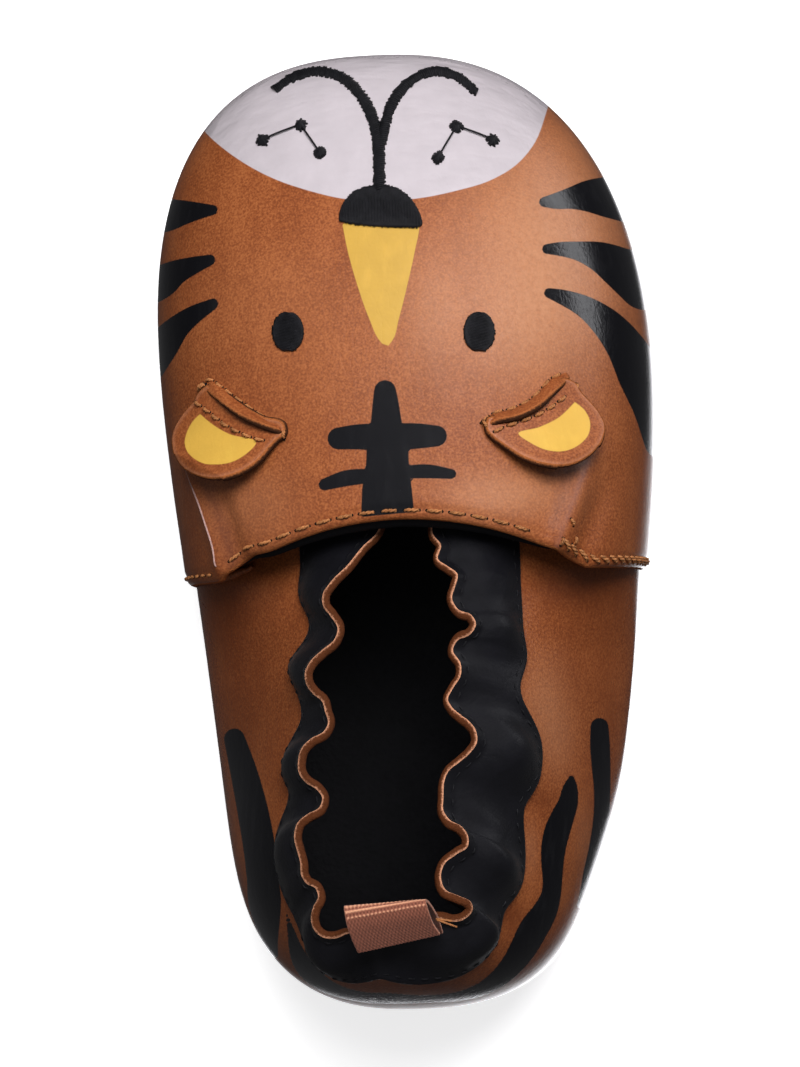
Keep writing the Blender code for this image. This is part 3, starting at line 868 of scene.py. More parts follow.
# Heel tints: painted sheen and painted shade
HEEL_TINTS = (("painted_sheen", TAN_SHEEN, 1.0), ("shaded", HEEL_SHADE_BROWN, 1.0))
HEEL_PRINTS = (("stripes", PRINT_BLACK, 0.13, 0.3),)
HEEL_GLOSS = (0.34, 0.46)
HEEL_LEATHER = printed_leather("heel_leather", HEEL_PRINTS, HEEL_TINTS, HEEL_GLOSS)
EAR_PRINTS = (("yellow", EAR_YELLOW_LIT, 0.46, 0.12),)
EAR_LEATHER = printed_leather("ear_leather", EAR_PRINTS, (("raw_rim", EDGE_LIGHT, 0.22),))
CUT_EDGE = raw_edge("cut_edge", TAN_LIGHT, EDGE_DARK)
COLLAR_EDGE = raw_edge("collar_edge", EDGE_LIGHT, EDGE_DARK, change=(0.02, 0.30))
# Cut edge of ears and lips: partly the leather's dark edge, partly painted shade beneath them
EAR_EDGE_AND_SHADE = raw_edge("ear_edge_and_shade", TAN_LIGHT, EDGE_BLACK_AND_SHADE, change=(0.04, 0.36))
FIBRE_LEATHER = plain_cloth("fibre_leather", EDGE_BROWN, rough=0.9, gloss=0.1, size=0.3, depth=0.02)
# Painted highlight along the left fold
FOLD_HIGHLIGHT_LEATHER = plain_cloth("fold_highlight_leather", FOLD_HIGHLIGHT_PALE, rough=0.45, gloss=0.5, size=0.4, depth=0.02)
LINING_CLOTH = plain_cloth("lining_cloth", LINING_BLACK, rough=0.75, gloss=0.25, size=0.4, depth=0.05)
COLLAR_LEATHER = gathered_leather("collar_leather")
GOLD_THREAD = thread("gold_thread", THREAD_GOLD, rough=0.45, gloss=0.45)
BLACK_THREAD = thread("black_thread", THREAD_BLACK, rough=0.50, gloss=0.40)


# Creases of the vamp, as heights out of the smooth dome

LEFT_FOLD_PIXELS = ((182, 455), (190.6, 479), (205, 506), (213, 529), (219, 550), (222, 570))
RIGHT_FOLD_PIXELS = ((596, 440), (587, 463), (578.6, 485), (571, 507), (564, 526), (553, 556))
LEFT_FOLD_HEIGHT = 1.1
LEFT_FOLD_WIDTH = 1.3
LEFT_TROUGH = 0.55
TROUGH_PLACE = 2.1
TROUGH_WIDTH = 1.3
RIGHT_FOLD_HEIGHT = 0.9
RIGHT_FOLD_WIDTH = 1.5
RIGHT_TROUGH = 0.35
RIGHT_TROUGH_PLACE = 3.1
FOLD_RISE = 1.6
FOLD_BLUNTNESS = 0.20
THROAT_STITCH_INSET = 1.0
THROAT_GROOVE = 0.22
THROAT_GROOVE_WIDTH = 0.42
THROAT_ROLL = 0.55
FOLD_POINTS = 60
LEFT_FOLD, RIGHT_FOLD = [
    even_steps(on_vamp(spline_through(pixels, FOLD_POINTS)), 4 * FOLD_POINTS)
    for pixels in (LEFT_FOLD_PIXELS, RIGHT_FOLD_PIXELS)
]


def distance_to_line(points, line):
    """Plan distance of points to a line, positive to its right, and their share of the way along it."""
    nearest = np.full(len(points), np.inf)
    share = np.zeros(len(points))
    side = np.ones(len(points))
    for step, place in enumerate(line):
        gap = np.hypot(points[:, 0] - place[0], points[:, 1] - place[1])
        closer = gap < nearest
        nearest[closer] = gap[closer]
        share[closer] = step / (len(line) - 1)
        side[closer] = np.sign(points[closer, 0] - place[0])
    return nearest * side, share


def vamp_relief(points):
    """How far creases, their troughs and the sewn throat lift the vamp, in millimetres."""
    x, y = points[:, 0], points[:, 1]
    half, centre = BELLY.half_at(y)
    across = (x - centre) / np.maximum(half, TINY)
    inset = y - throat_edge(across)
    gap, share = distance_to_line(points, LEFT_FOLD)
    rise = ease(share * FOLD_RISE)
    lift = LEFT_FOLD_HEIGHT * rise * np.exp(-np.hypot(gap, FOLD_BLUNTNESS) / LEFT_FOLD_WIDTH)
    lift -= LEFT_TROUGH * rise * hump(gap, TROUGH_PLACE, TROUGH_WIDTH)
    gap, share = distance_to_line(points, RIGHT_FOLD)
    rise = ease(share * FOLD_RISE)
    lift += RIGHT_FOLD_HEIGHT * rise * hump(gap, 0.0, RIGHT_FOLD_WIDTH)
    lift -= RIGHT_TROUGH * rise * hump(gap, RIGHT_TROUGH_PLACE, TROUGH_WIDTH)
    lift -= THROAT_GROOVE * hump(inset, THROAT_STITCH_INSET, THROAT_GROOVE_WIDTH)
    lift -= THROAT_ROLL * np.clip(1.0 - inset / THROAT_STITCH_INSET, 0.0, 1.0) ** 2
    return lift


def on_face(pixels, stand_off=0.0):
    """Points on the creased vamp under photograph pixels."""
    points = on_vamp(pixels)
    flat = points.reshape(-1, 3)
    raised = flat + vamp_normals(flat) * (vamp_relief(flat)[:, None] + np.reshape(stand_off, (-1, 1)))
    return raised.reshape(points.shape)


# Printed face, in photograph pixels. Rows of a stripe: x, y, half width

CHEEK_STRIPES = (
    ((213, 210, 5), (198, 211, 8.5), (180, 213, 13), (168, 215, 16), (145, 217, 18)),
    ((210, 260, 5.5), (192, 266, 9), (175, 273, 12.5), (163, 281, 16), (142, 290, 18)),
    ((213, 304, 5.5), (195, 314, 9), (178, 327, 12), (163, 345, 16), (143, 372, 18)),
    ((544, 202, 5), (556, 201, 8), (572, 198, 11), (590, 196, 16), (607, 197, 20), (630, 200, 23)),
    ((547, 249, 5), (560, 249, 7), (578, 251, 9.5), (600, 257, 15), (622, 269, 21), (645, 283, 27)),
    ((549, 293, 5), (562, 297, 7.5), (585, 307, 11), (605, 322, 15), (625, 346, 19),
     (640, 375, 22), (652, 405, 20), (664, 440, 20)),
)
FOREHEAD_BARS = (
    ((385, 391, 11), (385.5, 400, 12.5), (386.5, 424, 15.5), (388, 440, 17)),
    ((338.5, 438.5, 11), (356, 437, 12.5), (388, 437, 13.5), (420, 436, 12.5), (436.5, 436, 10.5)),
    ((324.5, 484.5, 6), (345, 478.5, 8), (375, 475.5, 7), (400, 472.5, 6.5), (430, 471.5, 7),
     (451.5, 474, 5)),
)
FOREHEAD_BLOCK = (
    (367, 440), (408, 440), (409, 465), (412, 490), (414, 512), (361, 517), (362, 490), (366, 465),
)
# Soft patches of painted sheen, where highlights fall. Rows: x, y, half width, half height, strength
SHEEN_PATCHES = (
    (432, 306, 34, 62, 0.30), (506, 494, 62, 24, 0.47), (340, 385, 80, 60, 0.06), (440, 400, 70, 50, 0.04),
    (545, 240, 80, 110, 0.66), (525, 330, 60, 60, 0.30), (300, 300, 90, 60, 0.08), (250, 505, 50, 40, 0.18),
)
# Outline of the wall left of the left fold, darkened as painted shade
FOLD_WALL_SHADE = (
    (164, 466), (181, 470), (190.6, 479), (205, 506), (213, 529), (219, 550), (222, 569), (186, 575),
    (170, 530),
)
# Rows of a soft stroke: tint, stripe, softness. The strokes paint shade beside the folds and a highlight
# along the right ridge
SOFT_STROKES = (
    ("fold_shade", ((200, 478, 2), (214, 506, 6), (223, 529, 7), (229, 550, 7), (232, 562, 5)), 9.0),
    ("right_shade", ((572, 468, 3), (562, 498, 5), (554, 522, 4)), 9.0),
    # Painted highlight along the soft right ridge
    ("right_ridge_sheen", ((587, 463, 1), (578.6, 485, 2), (571, 507, 2), (564, 526, 1.5), (556, 549, 1)), 4.0),
)
WALL_SOFTNESS = 5.0
POLISH_REACH = 8.0
OUTLINE_STEPS = 160
MUZZLE_OUTLINE = (
    (150, 60), (195, 120), (207, 134), (232, 155), (270, 177), (310, 191), (345, 199), (380, 201), (413, 199),
    (455, 191), (491, 180), (516, 165), (534, 144), (547, 110), (560, 60), (520, 0), (380, -20), (220, 0),
)
YELLOW_OUTLINE = (
    (342, 222), (419, 224), (415, 250), (408, 282), (399, 318), (392, 341), (386, 347), (380, 341),
    (369, 318), (357, 284), (348, 252),
)


def rounded(outline, count=OUTLINE_STEPS):
    """Closed outline drawn smoothly through its corners."""
    return spline_through((*outline, outline[0]), count)[:-1]


def deepest(pixels, chains):
    """Distance into the stripe that a pixel lies deepest in."""
    return np.max([into_chain(pixels, chain) for chain in chains], axis=0)


def patches(pixels, rows):
    """Soft patches added up. Rows: x, y, half width, half height, strength."""
    share = np.zeros(len(pixels))
    for x, y, wide, high, strength in rows:
        share += strength * hump(pixels[:, 0], x, wide) * hump(pixels[:, 1], y, high)
    return share


def rim_polish(points):
    """How near points lie to the belly line, where the leather is rubbed smooth."""
    return np.exp(-np.abs(points[:, 2] - BELLY_HEIGHT) / POLISH_REACH)


def softly(inside, softness):
    """Share from 0 to 1 across the edge of a shape."""
    return ease(0.5 + inside / (2 * softness))


# The vamp

VAMP_COLUMNS = 236
VAMP_ROWS = 158
VAMP_ROW_CROWDING = 1.25
VAMP_RIM = 0.8
TURN_IN_RINGS = 8
PANEL_BOTTOM_LIFT = 0.2


def vamp_surface():
    """Outer points and quads of the vamp: a dome, and the wall that turns in under the belly."""
    rows = np.linspace(0, 1, VAMP_ROWS + 1) ** VAMP_ROW_CROWDING
    u, v = np.meshgrid(np.linspace(-1, 1, VAMP_COLUMNS + 1), rows)
    dome = dome_points(*disc_places(u, v))
    index = np.arange(u.size).reshape(u.shape)
    rim = np.concatenate((index[:, 0], index[-1, 1:], index[-2::-1, -1]))
    points = dome.reshape(-1, 3)
    quads = [grid_quads(*u.shape)]
    blocks = [points]
    above = rim
    for ring in range(1, TURN_IN_RINGS + 1):
        below = len(points) + (ring - 1) * len(rim) + np.arange(len(rim))
        blocks.append(turn_in_points(BELLY, points[rim], ring / TURN_IN_RINGS, 0.0))
        quads.append(np.stack((above[:-1], above[1:], below[1:], below[:-1]), axis=1))
        above = below
    points, quads = np.concatenate(blocks), np.concatenate(quads)
    points = points + point_normals(points, quads) * vamp_relief(points)[:, None]
    return points, quads, u.shape


VAMP_POINTS, VAMP_QUADS, VAMP_GRID = vamp_surface()


def make_vamp():
    """Front of the upper, with its printed face."""
    materials = (VAMP_LEATHER, CUT_EDGE, LINING_CLOTH)
    piece = make_wall("vamp", VAMP_POINTS, VAMP_QUADS, materials, VAMP_WALL, VAMP_RIM)
    pixels = to_pixels(VAMP_POINTS)
    stripes = np.maximum(deepest(pixels, CHEEK_STRIPES), deepest(pixels, FOREHEAD_BARS))
    stripes = np.maximum(stripes, into_outline(pixels, FOREHEAD_BLOCK))
    set_values(piece, "stripes", stripes)
    set_values(piece, "muzzle", into_outline(pixels, rounded(MUZZLE_OUTLINE)))
    set_values(piece, "yellow", into_outline(pixels, rounded(YELLOW_OUTLINE)))
    set_values(piece, "polish", rim_polish(VAMP_POINTS))
    # Painted sheen in soft patches
    set_values(piece, "painted_sheen", patches(pixels, SHEEN_PATCHES))
    # Painted shade on the wall left of the left fold and in strokes beside both folds, with a painted
    # highlight on the right ridge
    set_values(piece, "fold_wall_shade", softly(into_outline(pixels, FOLD_WALL_SHADE), WALL_SOFTNESS))
    for tint, chain, softness in SOFT_STROKES:
        set_values(piece, tint, softly(into_chain(pixels, chain), softness))
    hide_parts("upper")


make_vamp()


# Threads and fibres


def tubes(lines, ups, radius, sides=6):
    """Points and quads of many closed tubes, one along each line. Ups point out of what carries them."""
    count, length = lines.shape[:2]
    ahead = unit(np.gradient(lines, axis=1))
    side = unit(np.cross(ahead, ups[:, None, :]))
    rise = np.cross(side, ahead)
    turn = 2 * math.pi * np.arange(sides)[:, None] / sides
    ring = side[:, :, None] * np.cos(turn) + rise[:, :, None] * np.sin(turn)
    points = lines[:, :, None] + ring * np.broadcast_to(radius, (count, length))[:, :, None, None]
    index = np.arange(count * length * sides).reshape(count, length, sides)
    after = np.roll(index, -1, axis=2)
    walls = (index[:, :-1], index[:, 1:], after[:, 1:], after[:, :-1])
    quads = [np.stack([corner.ravel() for corner in walls], axis=1)]
    for corner in range(1, sides - 2, 2):
        cap = (0, corner, corner + 1, corner + 2)
        quads.append(index[:, 0][:, cap])
        quads.append(index[:, -1][:, cap[::-1]])
    return points.reshape(-1, 3), np.concatenate(quads)


def joined(meshes):
    """One mesh from several lists of points and quads."""
    points, quads, start = [], [], 0
    for some_points, some_quads in meshes:
        points.append(some_points)
        quads.append(some_quads + start)
        start += len(some_points)
    return np.concatenate(points), np.concatenate(quads)


STITCH_POINTS = 13
STITCH_RADIUS = 0.138
STITCH_TWIST = 1.6
STITCH_LIFT = 0.30
STITCH_SINK = 0.18
HOLE_RADIUS = 0.23
HOLE_DEPTH = 0.25
HOLE_RISE = 0.05
HOLE_TAPER = np.array((1.0, 1.0, 0.8))
HOLE_NUDGE = 0.1
STITCH_FULLNESS = 0.6
PLY_SPACING = 0.75
FIBRE_RADIUS = 0.045
FIBRE_TAPER = np.array((1.0, 0.9, 0.7, 0.35))
FIBRE_SIDES = 4
FIBRE_SHORTEST = 0.4
FIBRE_DROOP = 0.35
FIBRE_SCATTER = 0.06
FIBRE_NUDGE = 0.05
SEEN_REPEATS = 12
SEEN_STEP = 0.8


def sewn_lines(path, ups, pitch, length, slant=0.0, lift=STITCH_LIFT):
    """Lines of a row of stitches: each comes out of its hole, lies on the leather and goes in again."""
    reach = run_along(path)
    count = int((reach[-1] - length) / pitch) + 1
    share = np.linspace(0.0, 1.0, STITCH_POINTS)
    at = np.arange(count)[:, None] * pitch + share * length
    spots, out = read_line(at, reach, path), read_line(at, reach, ups)
    arch = np.sin(math.pi * share) ** STITCH_FULLNESS
    aside = np.cross(unit(np.gradient(spots, axis=1)), out) * (slant * (share - 0.5))[:, None]
    lines = spots + out * (lift * arch - STITCH_SINK * (1.0 - arch))[:, None] + aside
    return lines, out[:, STITCH_POINTS // 2]


def two_ply(lines, ups, radius=STITCH_RADIUS):
    """Tubes of two strands twisted round each line."""
    share = np.linspace(0.0, 1.0, lines.shape[1])
    side = np.cross(unit(np.gradient(lines, axis=1)), ups[:, None, :])
    strands = []
    for start in (0.0, math.pi):
        turn = (2 * math.pi * STITCH_TWIST * share + start)[:, None]
        offset = side * np.cos(turn) + ups[:, None, :] * np.sin(turn)
        strands.append(tubes(lines + offset * radius * PLY_SPACING, ups, radius))
    return joined(strands)


def needle_hole_shade(lines, ups):
    """Short dark plugs where each stitch goes through: painted shade in the needle holes."""
    ends = np.concatenate((lines[:, 0], lines[:, -1]))
    out = np.concatenate((ups, ups))
    base = ends + out * STITCH_SINK
    depth = np.array((-HOLE_DEPTH, -HOLE_DEPTH / 2, HOLE_RISE))
    stacks = base[:, None] + out[:, None] * depth[:, None]
    flat = np.cross(out, np.roll(out, 1, axis=1) + HOLE_NUDGE)
    return tubes(stacks, flat, HOLE_TAPER * HOLE_RADIUS)


def fuzz(roots, ups, seed, count, length, spread):
    """Fine fibres standing out of a raw edge."""
    random = np.random.default_rng(seed)
    pick = random.integers(0, len(roots), count)
    lean = unit(ups[pick] + random.normal(0.0, spread, (count, 3)))
    reach = length * random.uniform(FIBRE_SHORTEST, 1.0, count)
    droop = random.normal(0.0, FIBRE_DROOP, (count, 3)) * reach[:, None]
    share = np.linspace(0.0, 1.0, len(FIBRE_TAPER))[None, :, None]
    start = roots[pick] + random.normal(0.0, FIBRE_SCATTER, (count, 3))
    lines = start[:, None] + lean[:, None] * reach[:, None, None] * share + droop[:, None] * share ** 2
    return tubes(lines, np.roll(lean, 1, axis=1) + FIBRE_NUDGE, FIBRE_RADIUS * FIBRE_TAPER, FIBRE_SIDES)


def seen_on_face(pixels, stand_off):
    """Points that stand off the vamp and still lie under given pixels."""
    pixels = np.asarray(pixels, float)
    aim = pixels.copy()
    for repeat in range(SEEN_REPEATS):
        points = on_face(aim, stand_off)
        aim += SEEN_STEP * (pixels - to_pixels(points))
    return on_face(aim, stand_off)


# Embroidery: nose, eyes, mouth and whisker dots, in photograph pixels

NOSE_OUTLINE = (
    (340, 221), (341, 212), (346, 202), (354, 194), (366, 189), (379, 187), (392, 188.5), (404, 194.5),
    (413, 204), (419, 215), (421, 225), (405, 227), (380, 226), (358, 224),
)
EYE_CENTRES = {"eye_left": (288.5, 332), "eye_right": (479, 332)}
EYE_HALF_PIXELS = (14.3, 19.2)
MOUTH_LINES = (
    ((275, 90, 6.5), (294, 77.7, 7.5), (317.5, 71.9, 8), (342.5, 78.4, 9.5), (362.8, 98.8, 9.5),
     (373.8, 122, 10), (378.2, 142.5, 10), (379.2, 172, 10), (379.2, 190, 10)),
    ((476, 92.5, 7), (458, 77.7, 8), (436, 71.9, 8), (412.8, 80, 8.5), (392.5, 103.4, 9), (385.5, 123.8, 9),
     (381.5, 145, 8)),
)
WHISKERS = (
    ((263, 140.5), (301, 125.5), (320, 153)), ((492.5, 140.5), (456.5, 127), (438, 158)),
)
DOT_RADIUS = 6.2
DOT_ARMS = 9
THREAD_RADIUS = 0.15
THREAD_PITCH = 1.5
FILL_RADIUS = 0.105
THREAD_POINTS = 9
LONGEST_THREAD = 50.0
PAD_LIFT = 0.22
THREAD_LIFT = 0.34
THREAD_ARCH = 0.14
RAGGED = 1.5
PAD_CELLS = 26
PAD_INSET = 1.0
PAD_SHARE = 0.4
PAD_BELOW = 0.3
FILL_INSET = 0.6
FILL_OVERLAP = 0.6
FILL_SINK = 0.12
BREAK_SHIFT = 0.22
NOSE_SEED = 21
EYE_SEED = 31
EYE_TURN = 0.12
ELLIPSE_STEPS = 80
MOUTH_SEED = 5
MOUTH_STEP = 2.0
MOUTH_SLANT = 0.35
MOUTH_RAGGED = (-0.6, 1.2)
MOUTH_BASE = 0.02
MOUTH_ARCH = 0.42
WHISKER_SEED = 9
ARM_PLACES = (0.2, 0.8)
ARM_LENGTHS = (0.75, 1.15)
KNOT_ARCH = 0.5
JUMP_LIFT = 0.25
JUMP_ARCH = 0.1
JUMP_RADIUS = 0.115


def thread_lines(starts, ends, base, arch):
    """Lines of threads over the face between pixel pairs, and the directions out of the face."""
    share = np.linspace(0.0, 1.0, THREAD_POINTS)
    pixels = starts[:, None] + (ends - starts)[:, None] * share[:, None]
    lift = np.tile(base + arch * np.sin(math.pi * share), len(starts))
    lines = on_face(pixels, lift)
    return lines, vamp_normals(on_vamp(pixels[:, THREAD_POINTS // 2]))


def crossings(outline, level):
    """Where an outline crosses a level line, lowest and highest."""
    after = np.roll(outline, -1, axis=0)
    crosses = (outline[:, 1] > level) != (after[:, 1] > level)
    share = (level - outline[crosses, 1]) / (after[crosses, 1] - outline[crosses, 1])
    found = outline[crosses, 0] + share * (after[crosses, 0] - outline[crosses, 0])
    return found.min(), found.max()


def fill_outline(outline, turn, random):
    """Start and end pixels of threads that fill an outline, running at a turn from the picture's x."""
    spin = np.array(((math.cos(turn), -math.sin(turn)), (math.sin(turn), math.cos(turn))))
    flat = outline @ spin
    starts, ends = [], []
    levels = np.arange(flat[:, 1].min() + FILL_INSET, flat[:, 1].max() - 0.5, THREAD_PITCH)
    for number, level in enumerate(levels):
        low, high = crossings(flat, level)
        low, high = low - random.uniform(0, RAGGED), high + random.uniform(0, RAGGED)
        pieces = max(1, math.ceil((high - low) / LONGEST_THREAD))
        shift = (number % 3 - 1) * BREAK_SHIFT * (high - low) / pieces if pieces > 1 else 0.0
        breaks = np.linspace(low, high, pieces + 1)
        breaks[1:-1] += shift
        for left, right in zip(breaks, breaks[1:]):
            starts.append((left - FILL_OVERLAP, level))
            ends.append((right + FILL_OVERLAP, level + 0.5 * THREAD_PITCH))
    return np.array(starts) @ spin.T, np.array(ends) @ spin.T


def pad_under(outline):
    """Low cushion of thread that backs a filled outline."""
    size = PAD_CELLS + 1
    levels = np.linspace(outline[:, 1].min() + PAD_INSET, outline[:, 1].max() - PAD_INSET, size)
    rows = [np.linspace(*crossings(outline, level), size) for level in levels]
    pixels = np.stack((np.array(rows), np.broadcast_to(levels[:, None], (size, size))), axis=-1)
    points = on_face(pixels, np.full(size * size, PAD_LIFT + THREAD_LIFT * PAD_SHARE)).reshape(-1, 3)
    return shell(points, grid_quads(size, size)[:, ::-1], PAD_LIFT + PAD_BELOW)[:2]


def make_filled(name, outline, turn, seed):
    """Raised patch of satin stitch that stands for a node of the same name."""
    starts, ends = fill_outline(outline, turn, np.random.default_rng(seed))
    lines, ups = thread_lines(starts, ends, THREAD_LIFT - FILL_SINK, THREAD_ARCH)
    points, quads = joined((pad_under(outline), tubes(lines, ups, FILL_RADIUS)))
    piece = make_piece(name, points, quads, (BLACK_THREAD,))
    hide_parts(name)


def make_mouth():
    """Satin stitch along the mouth: short threads side by side across each line."""
    random = np.random.default_rng(MOUTH_SEED)
    starts, ends = [], []
    for row in MOUTH_LINES:
        line = spline_through(row, int(run_along(np.array(row)[:, :2])[-1] / MOUTH_STEP))
        ahead = unit(np.gradient(line[:, :2], axis=0))
        across = np.column_stack((-ahead[:, 1], ahead[:, 0])) + MOUTH_SLANT * ahead
        half = line[:, 2:] / 2 + random.uniform(*MOUTH_RAGGED, (len(line), 1))
        starts.append(line[:, :2] - across * half)
        ends.append(line[:, :2] + across * half)
    lines, ups = thread_lines(np.concatenate(starts), np.concatenate(ends), MOUTH_BASE, MOUTH_ARCH)
    points, quads = tubes(lines, ups, THREAD_RADIUS)
    make_piece("mouth_stitching", points, quads, (BLACK_THREAD,))


def make_whiskers():
    """Ragged knots with the thread that jumps between them."""
    random = np.random.default_rng(WHISKER_SEED)
    starts, ends, jumps = [], [], []
    for dots in WHISKERS:
        for dot in np.array(dots, float):
            turns = math.pi * (np.arange(DOT_ARMS) + random.uniform(*ARM_PLACES, DOT_ARMS)) / DOT_ARMS
            arms = np.column_stack((np.cos(turns), np.sin(turns))) * DOT_RADIUS
            arms *= random.uniform(*ARM_LENGTHS, (DOT_ARMS, 2))
            starts.append(dot - arms)
            ends.append(dot + arms)
        jumps.extend(zip(dots, dots[1:]))
    lines, ups = thread_lines(np.concatenate(starts), np.concatenate(ends), 0.0, KNOT_ARCH)
    jumps = np.array(jumps, float)
    jump_lines, jump_ups = thread_lines(jumps[:, 0], jumps[:, 1], JUMP_LIFT, JUMP_ARCH)
    points, quads = joined((tubes(lines, ups, THREAD_RADIUS), tubes(jump_lines, jump_ups, JUMP_RADIUS)))
    make_piece("whisker_knots", points, quads, (BLACK_THREAD,))


def ellipse(centre, half):
    """Outline of an ellipse."""
    turn = np.linspace(0, 2 * math.pi, ELLIPSE_STEPS, endpoint=False)
    return np.array(centre) + np.column_stack((np.cos(turn), np.sin(turn))) * np.array(half)


make_filled("nose", rounded(NOSE_OUTLINE), math.pi / 2, NOSE_SEED)
for side, (eye, centre) in enumerate(EYE_CENTRES.items()):
    make_filled(eye, ellipse(centre, EYE_HALF_PIXELS), EYE_TURN, EYE_SEED + side)
make_mouth()
make_whiskers()


# Ears, each a flap that comes out under a cut lip of the vamp. Outlines in pixels

EAR_OUTLINE = {
    "ear_left": (
        (206, 387), (198, 394), (194, 402), (186, 411), (178, 422), (172.5, 436), (173, 447), (179, 462),
        (188.5, 470.5), (201, 475.5), (214, 477), (230, 474), (247, 466.5), (259, 457), (268, 446.5),
        (274, 440), (283, 431), (282, 425), (262, 418), (240, 406), (222, 394),
    ),
    "ear_right": (
        (489, 419), (488, 428), (495, 436.5), (502, 441.5), (510, 447), (521, 454), (534, 459.5), (549, 463),
        (565, 464), (582, 458.5), (594.5, 449), (602, 437), (604, 426), (598.5, 413), (590, 402.5),
        (581, 393), (574, 383), (566, 380), (548, 391), (530, 405), (510, 413),
    ),
}
EAR_BASE = {"ear_left": ((202, 386), (285, 428)), "ear_right": ((486, 420), (572, 376))}
EAR_YELLOW = {
    "ear_left": (
        (200, 414), (212, 424), (228, 433.5), (256, 442.7), (242, 456.8), (228, 463), (215, 464.4),
        (204, 463.5), (195.5, 459.5), (187, 451), (184.7, 443), (187, 432), (193, 421),
    ),
    "ear_right": (
        (575, 402), (584.7, 410.4), (590, 422), (588.6, 434), (578.7, 445), (564, 451), (547, 450),
        (531, 443), (518.4, 433.6), (539, 427.2), (559, 417.3),
    ),
}
EAR_STITCHES = {
    "ear_left": ((195.7, 402), (207, 410), (217, 418.5), (229, 427), (243, 434), (258, 439.5), (269, 441)),
    "ear_right": ((494, 432), (501.6, 428), (519.4, 422), (537, 415), (550, 407.5), (567, 395)),
}
LIP_TOP = {
    "ear_left": ((199, 391), (203, 384), (210, 380), (222, 387), (238, 399), (258, 413), (287, 429)),
    "ear_right": ((481, 423), (492, 414), (512, 408.5), (526, 402), (538, 392.5), (549, 380), (567, 371)),
}
LIP_EDGE = {
    "ear_left": ((201, 391.5), (206, 389.5), (213, 394), (224, 402), (243, 414.5), (262, 422.5), (287, 431)),
    "ear_right": (
        (484, 425.5), (499.5, 418), (514.5, 415), (529, 409), (541, 401.5), (552, 391.5), (570, 376),
    ),
}
EAR_TACKS = {
    "ear_left": (((200, 389), (208, 381.5)), ((285, 430), (283, 441))),
    "ear_right": (((577, 384), (573, 394)), ((483, 421), (487, 428))),
}
EAR_MATERIALS = (EAR_LEATHER, EAR_EDGE_AND_SHADE, EAR_EDGE_AND_SHADE)
EAR_CELLS = 72
EAR_OUTLINE_STEPS = 720
EAR_WALL = 1.0
EAR_RIM = 0.8
EAR_BASE_LIFT = 0.9
EAR_TIP_LIFT = 3.5
EAR_DEPTH = 72.0
EAR_CURL = 1.6
RAW_RIM = 2.2
LIP_WALL = 0.8
LIP_RIM = 0.9
LIP_LIFT = 2.0
LIP_SINK = 0.3
LIP_FULLNESS = 0.4
LIP_ROWS = 14
LIP_COLUMNS = 90


def ear_lift(name, pixels):
    """How far an ear stands off the vamp: little under its lip, more towards its tip."""
    start, end = np.array(EAR_BASE[name], float)
    along = unit(end - start)
    depth = np.clip(((pixels - start) @ np.array((-along[1], along[0]))) / EAR_DEPTH, 0.0, 1.0)
    return EAR_BASE_LIFT + (EAR_TIP_LIFT - EAR_BASE_LIFT) * depth ** EAR_CURL


def make_ear(name):
    """Flap with its yellow print. Returns its rim and the directions out of it."""
    outline = rounded(EAR_OUTLINE[name], EAR_OUTLINE_STEPS)
    middle = outline.mean(axis=0)
    a, b = full_disc(EAR_CELLS)
    step = np.arctan2(b, a).ravel() / (2 * math.pi) * EAR_OUTLINE_STEPS
    reached = outline[np.round(step).astype(int) % EAR_OUTLINE_STEPS]
    pixels = middle + (reached - middle) * np.hypot(a, b).reshape(-1, 1)
    outer = seen_on_face(pixels, ear_lift(name, pixels))
    quads = grid_quads(*a.shape)
    if point_normals(outer, quads)[:, 2].mean() < 0:
        quads = quads[:, ::-1]
    piece = make_wall(name, outer, quads, EAR_MATERIALS, EAR_WALL, EAR_RIM)
    set_values(piece, "yellow", into_outline(to_pixels(outer), rounded(EAR_YELLOW[name])))
    set_values(piece, "raw_rim", softly(RAW_RIM - into_outline(pixels, outline), RAW_RIM))
    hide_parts(name)
    rim = np.unique(border_edges(quads))
    return outer[rim], point_normals(outer, quads)[rim]


def make_lip(name):
    """Cut lip of the vamp over the ear's base. Returns its raw edge."""
    top = spline_through(LIP_TOP[name], LIP_COLUMNS)
    edge = spline_through(LIP_EDGE[name], LIP_COLUMNS)
    share = np.linspace(0.0, 1.0, LIP_ROWS + 1)[:, None]
    pixels = top + (edge - top) * share[:, :, None]
    along = np.linspace(0.0, 1.0, LIP_COLUMNS + 1)[None, :]
    lift = (LIP_LIFT + LIP_SINK) * np.sqrt(share) * np.sin(math.pi * along) ** LIP_FULLNESS - LIP_SINK
    grid = seen_on_face(pixels, lift.ravel())
    outer = grid.reshape(-1, 3)
    quads = grid_quads(*grid.shape[:2])[:, ::-1]
    piece = make_wall("lip_of_" + name, outer, quads, EAR_MATERIALS, LIP_WALL, LIP_RIM)
    set_values(piece, "yellow", ())
    return grid[-1], point_normals(outer, quads).reshape(grid.shape)[-1]


# Golden stitches, and fuzz along the raw edges

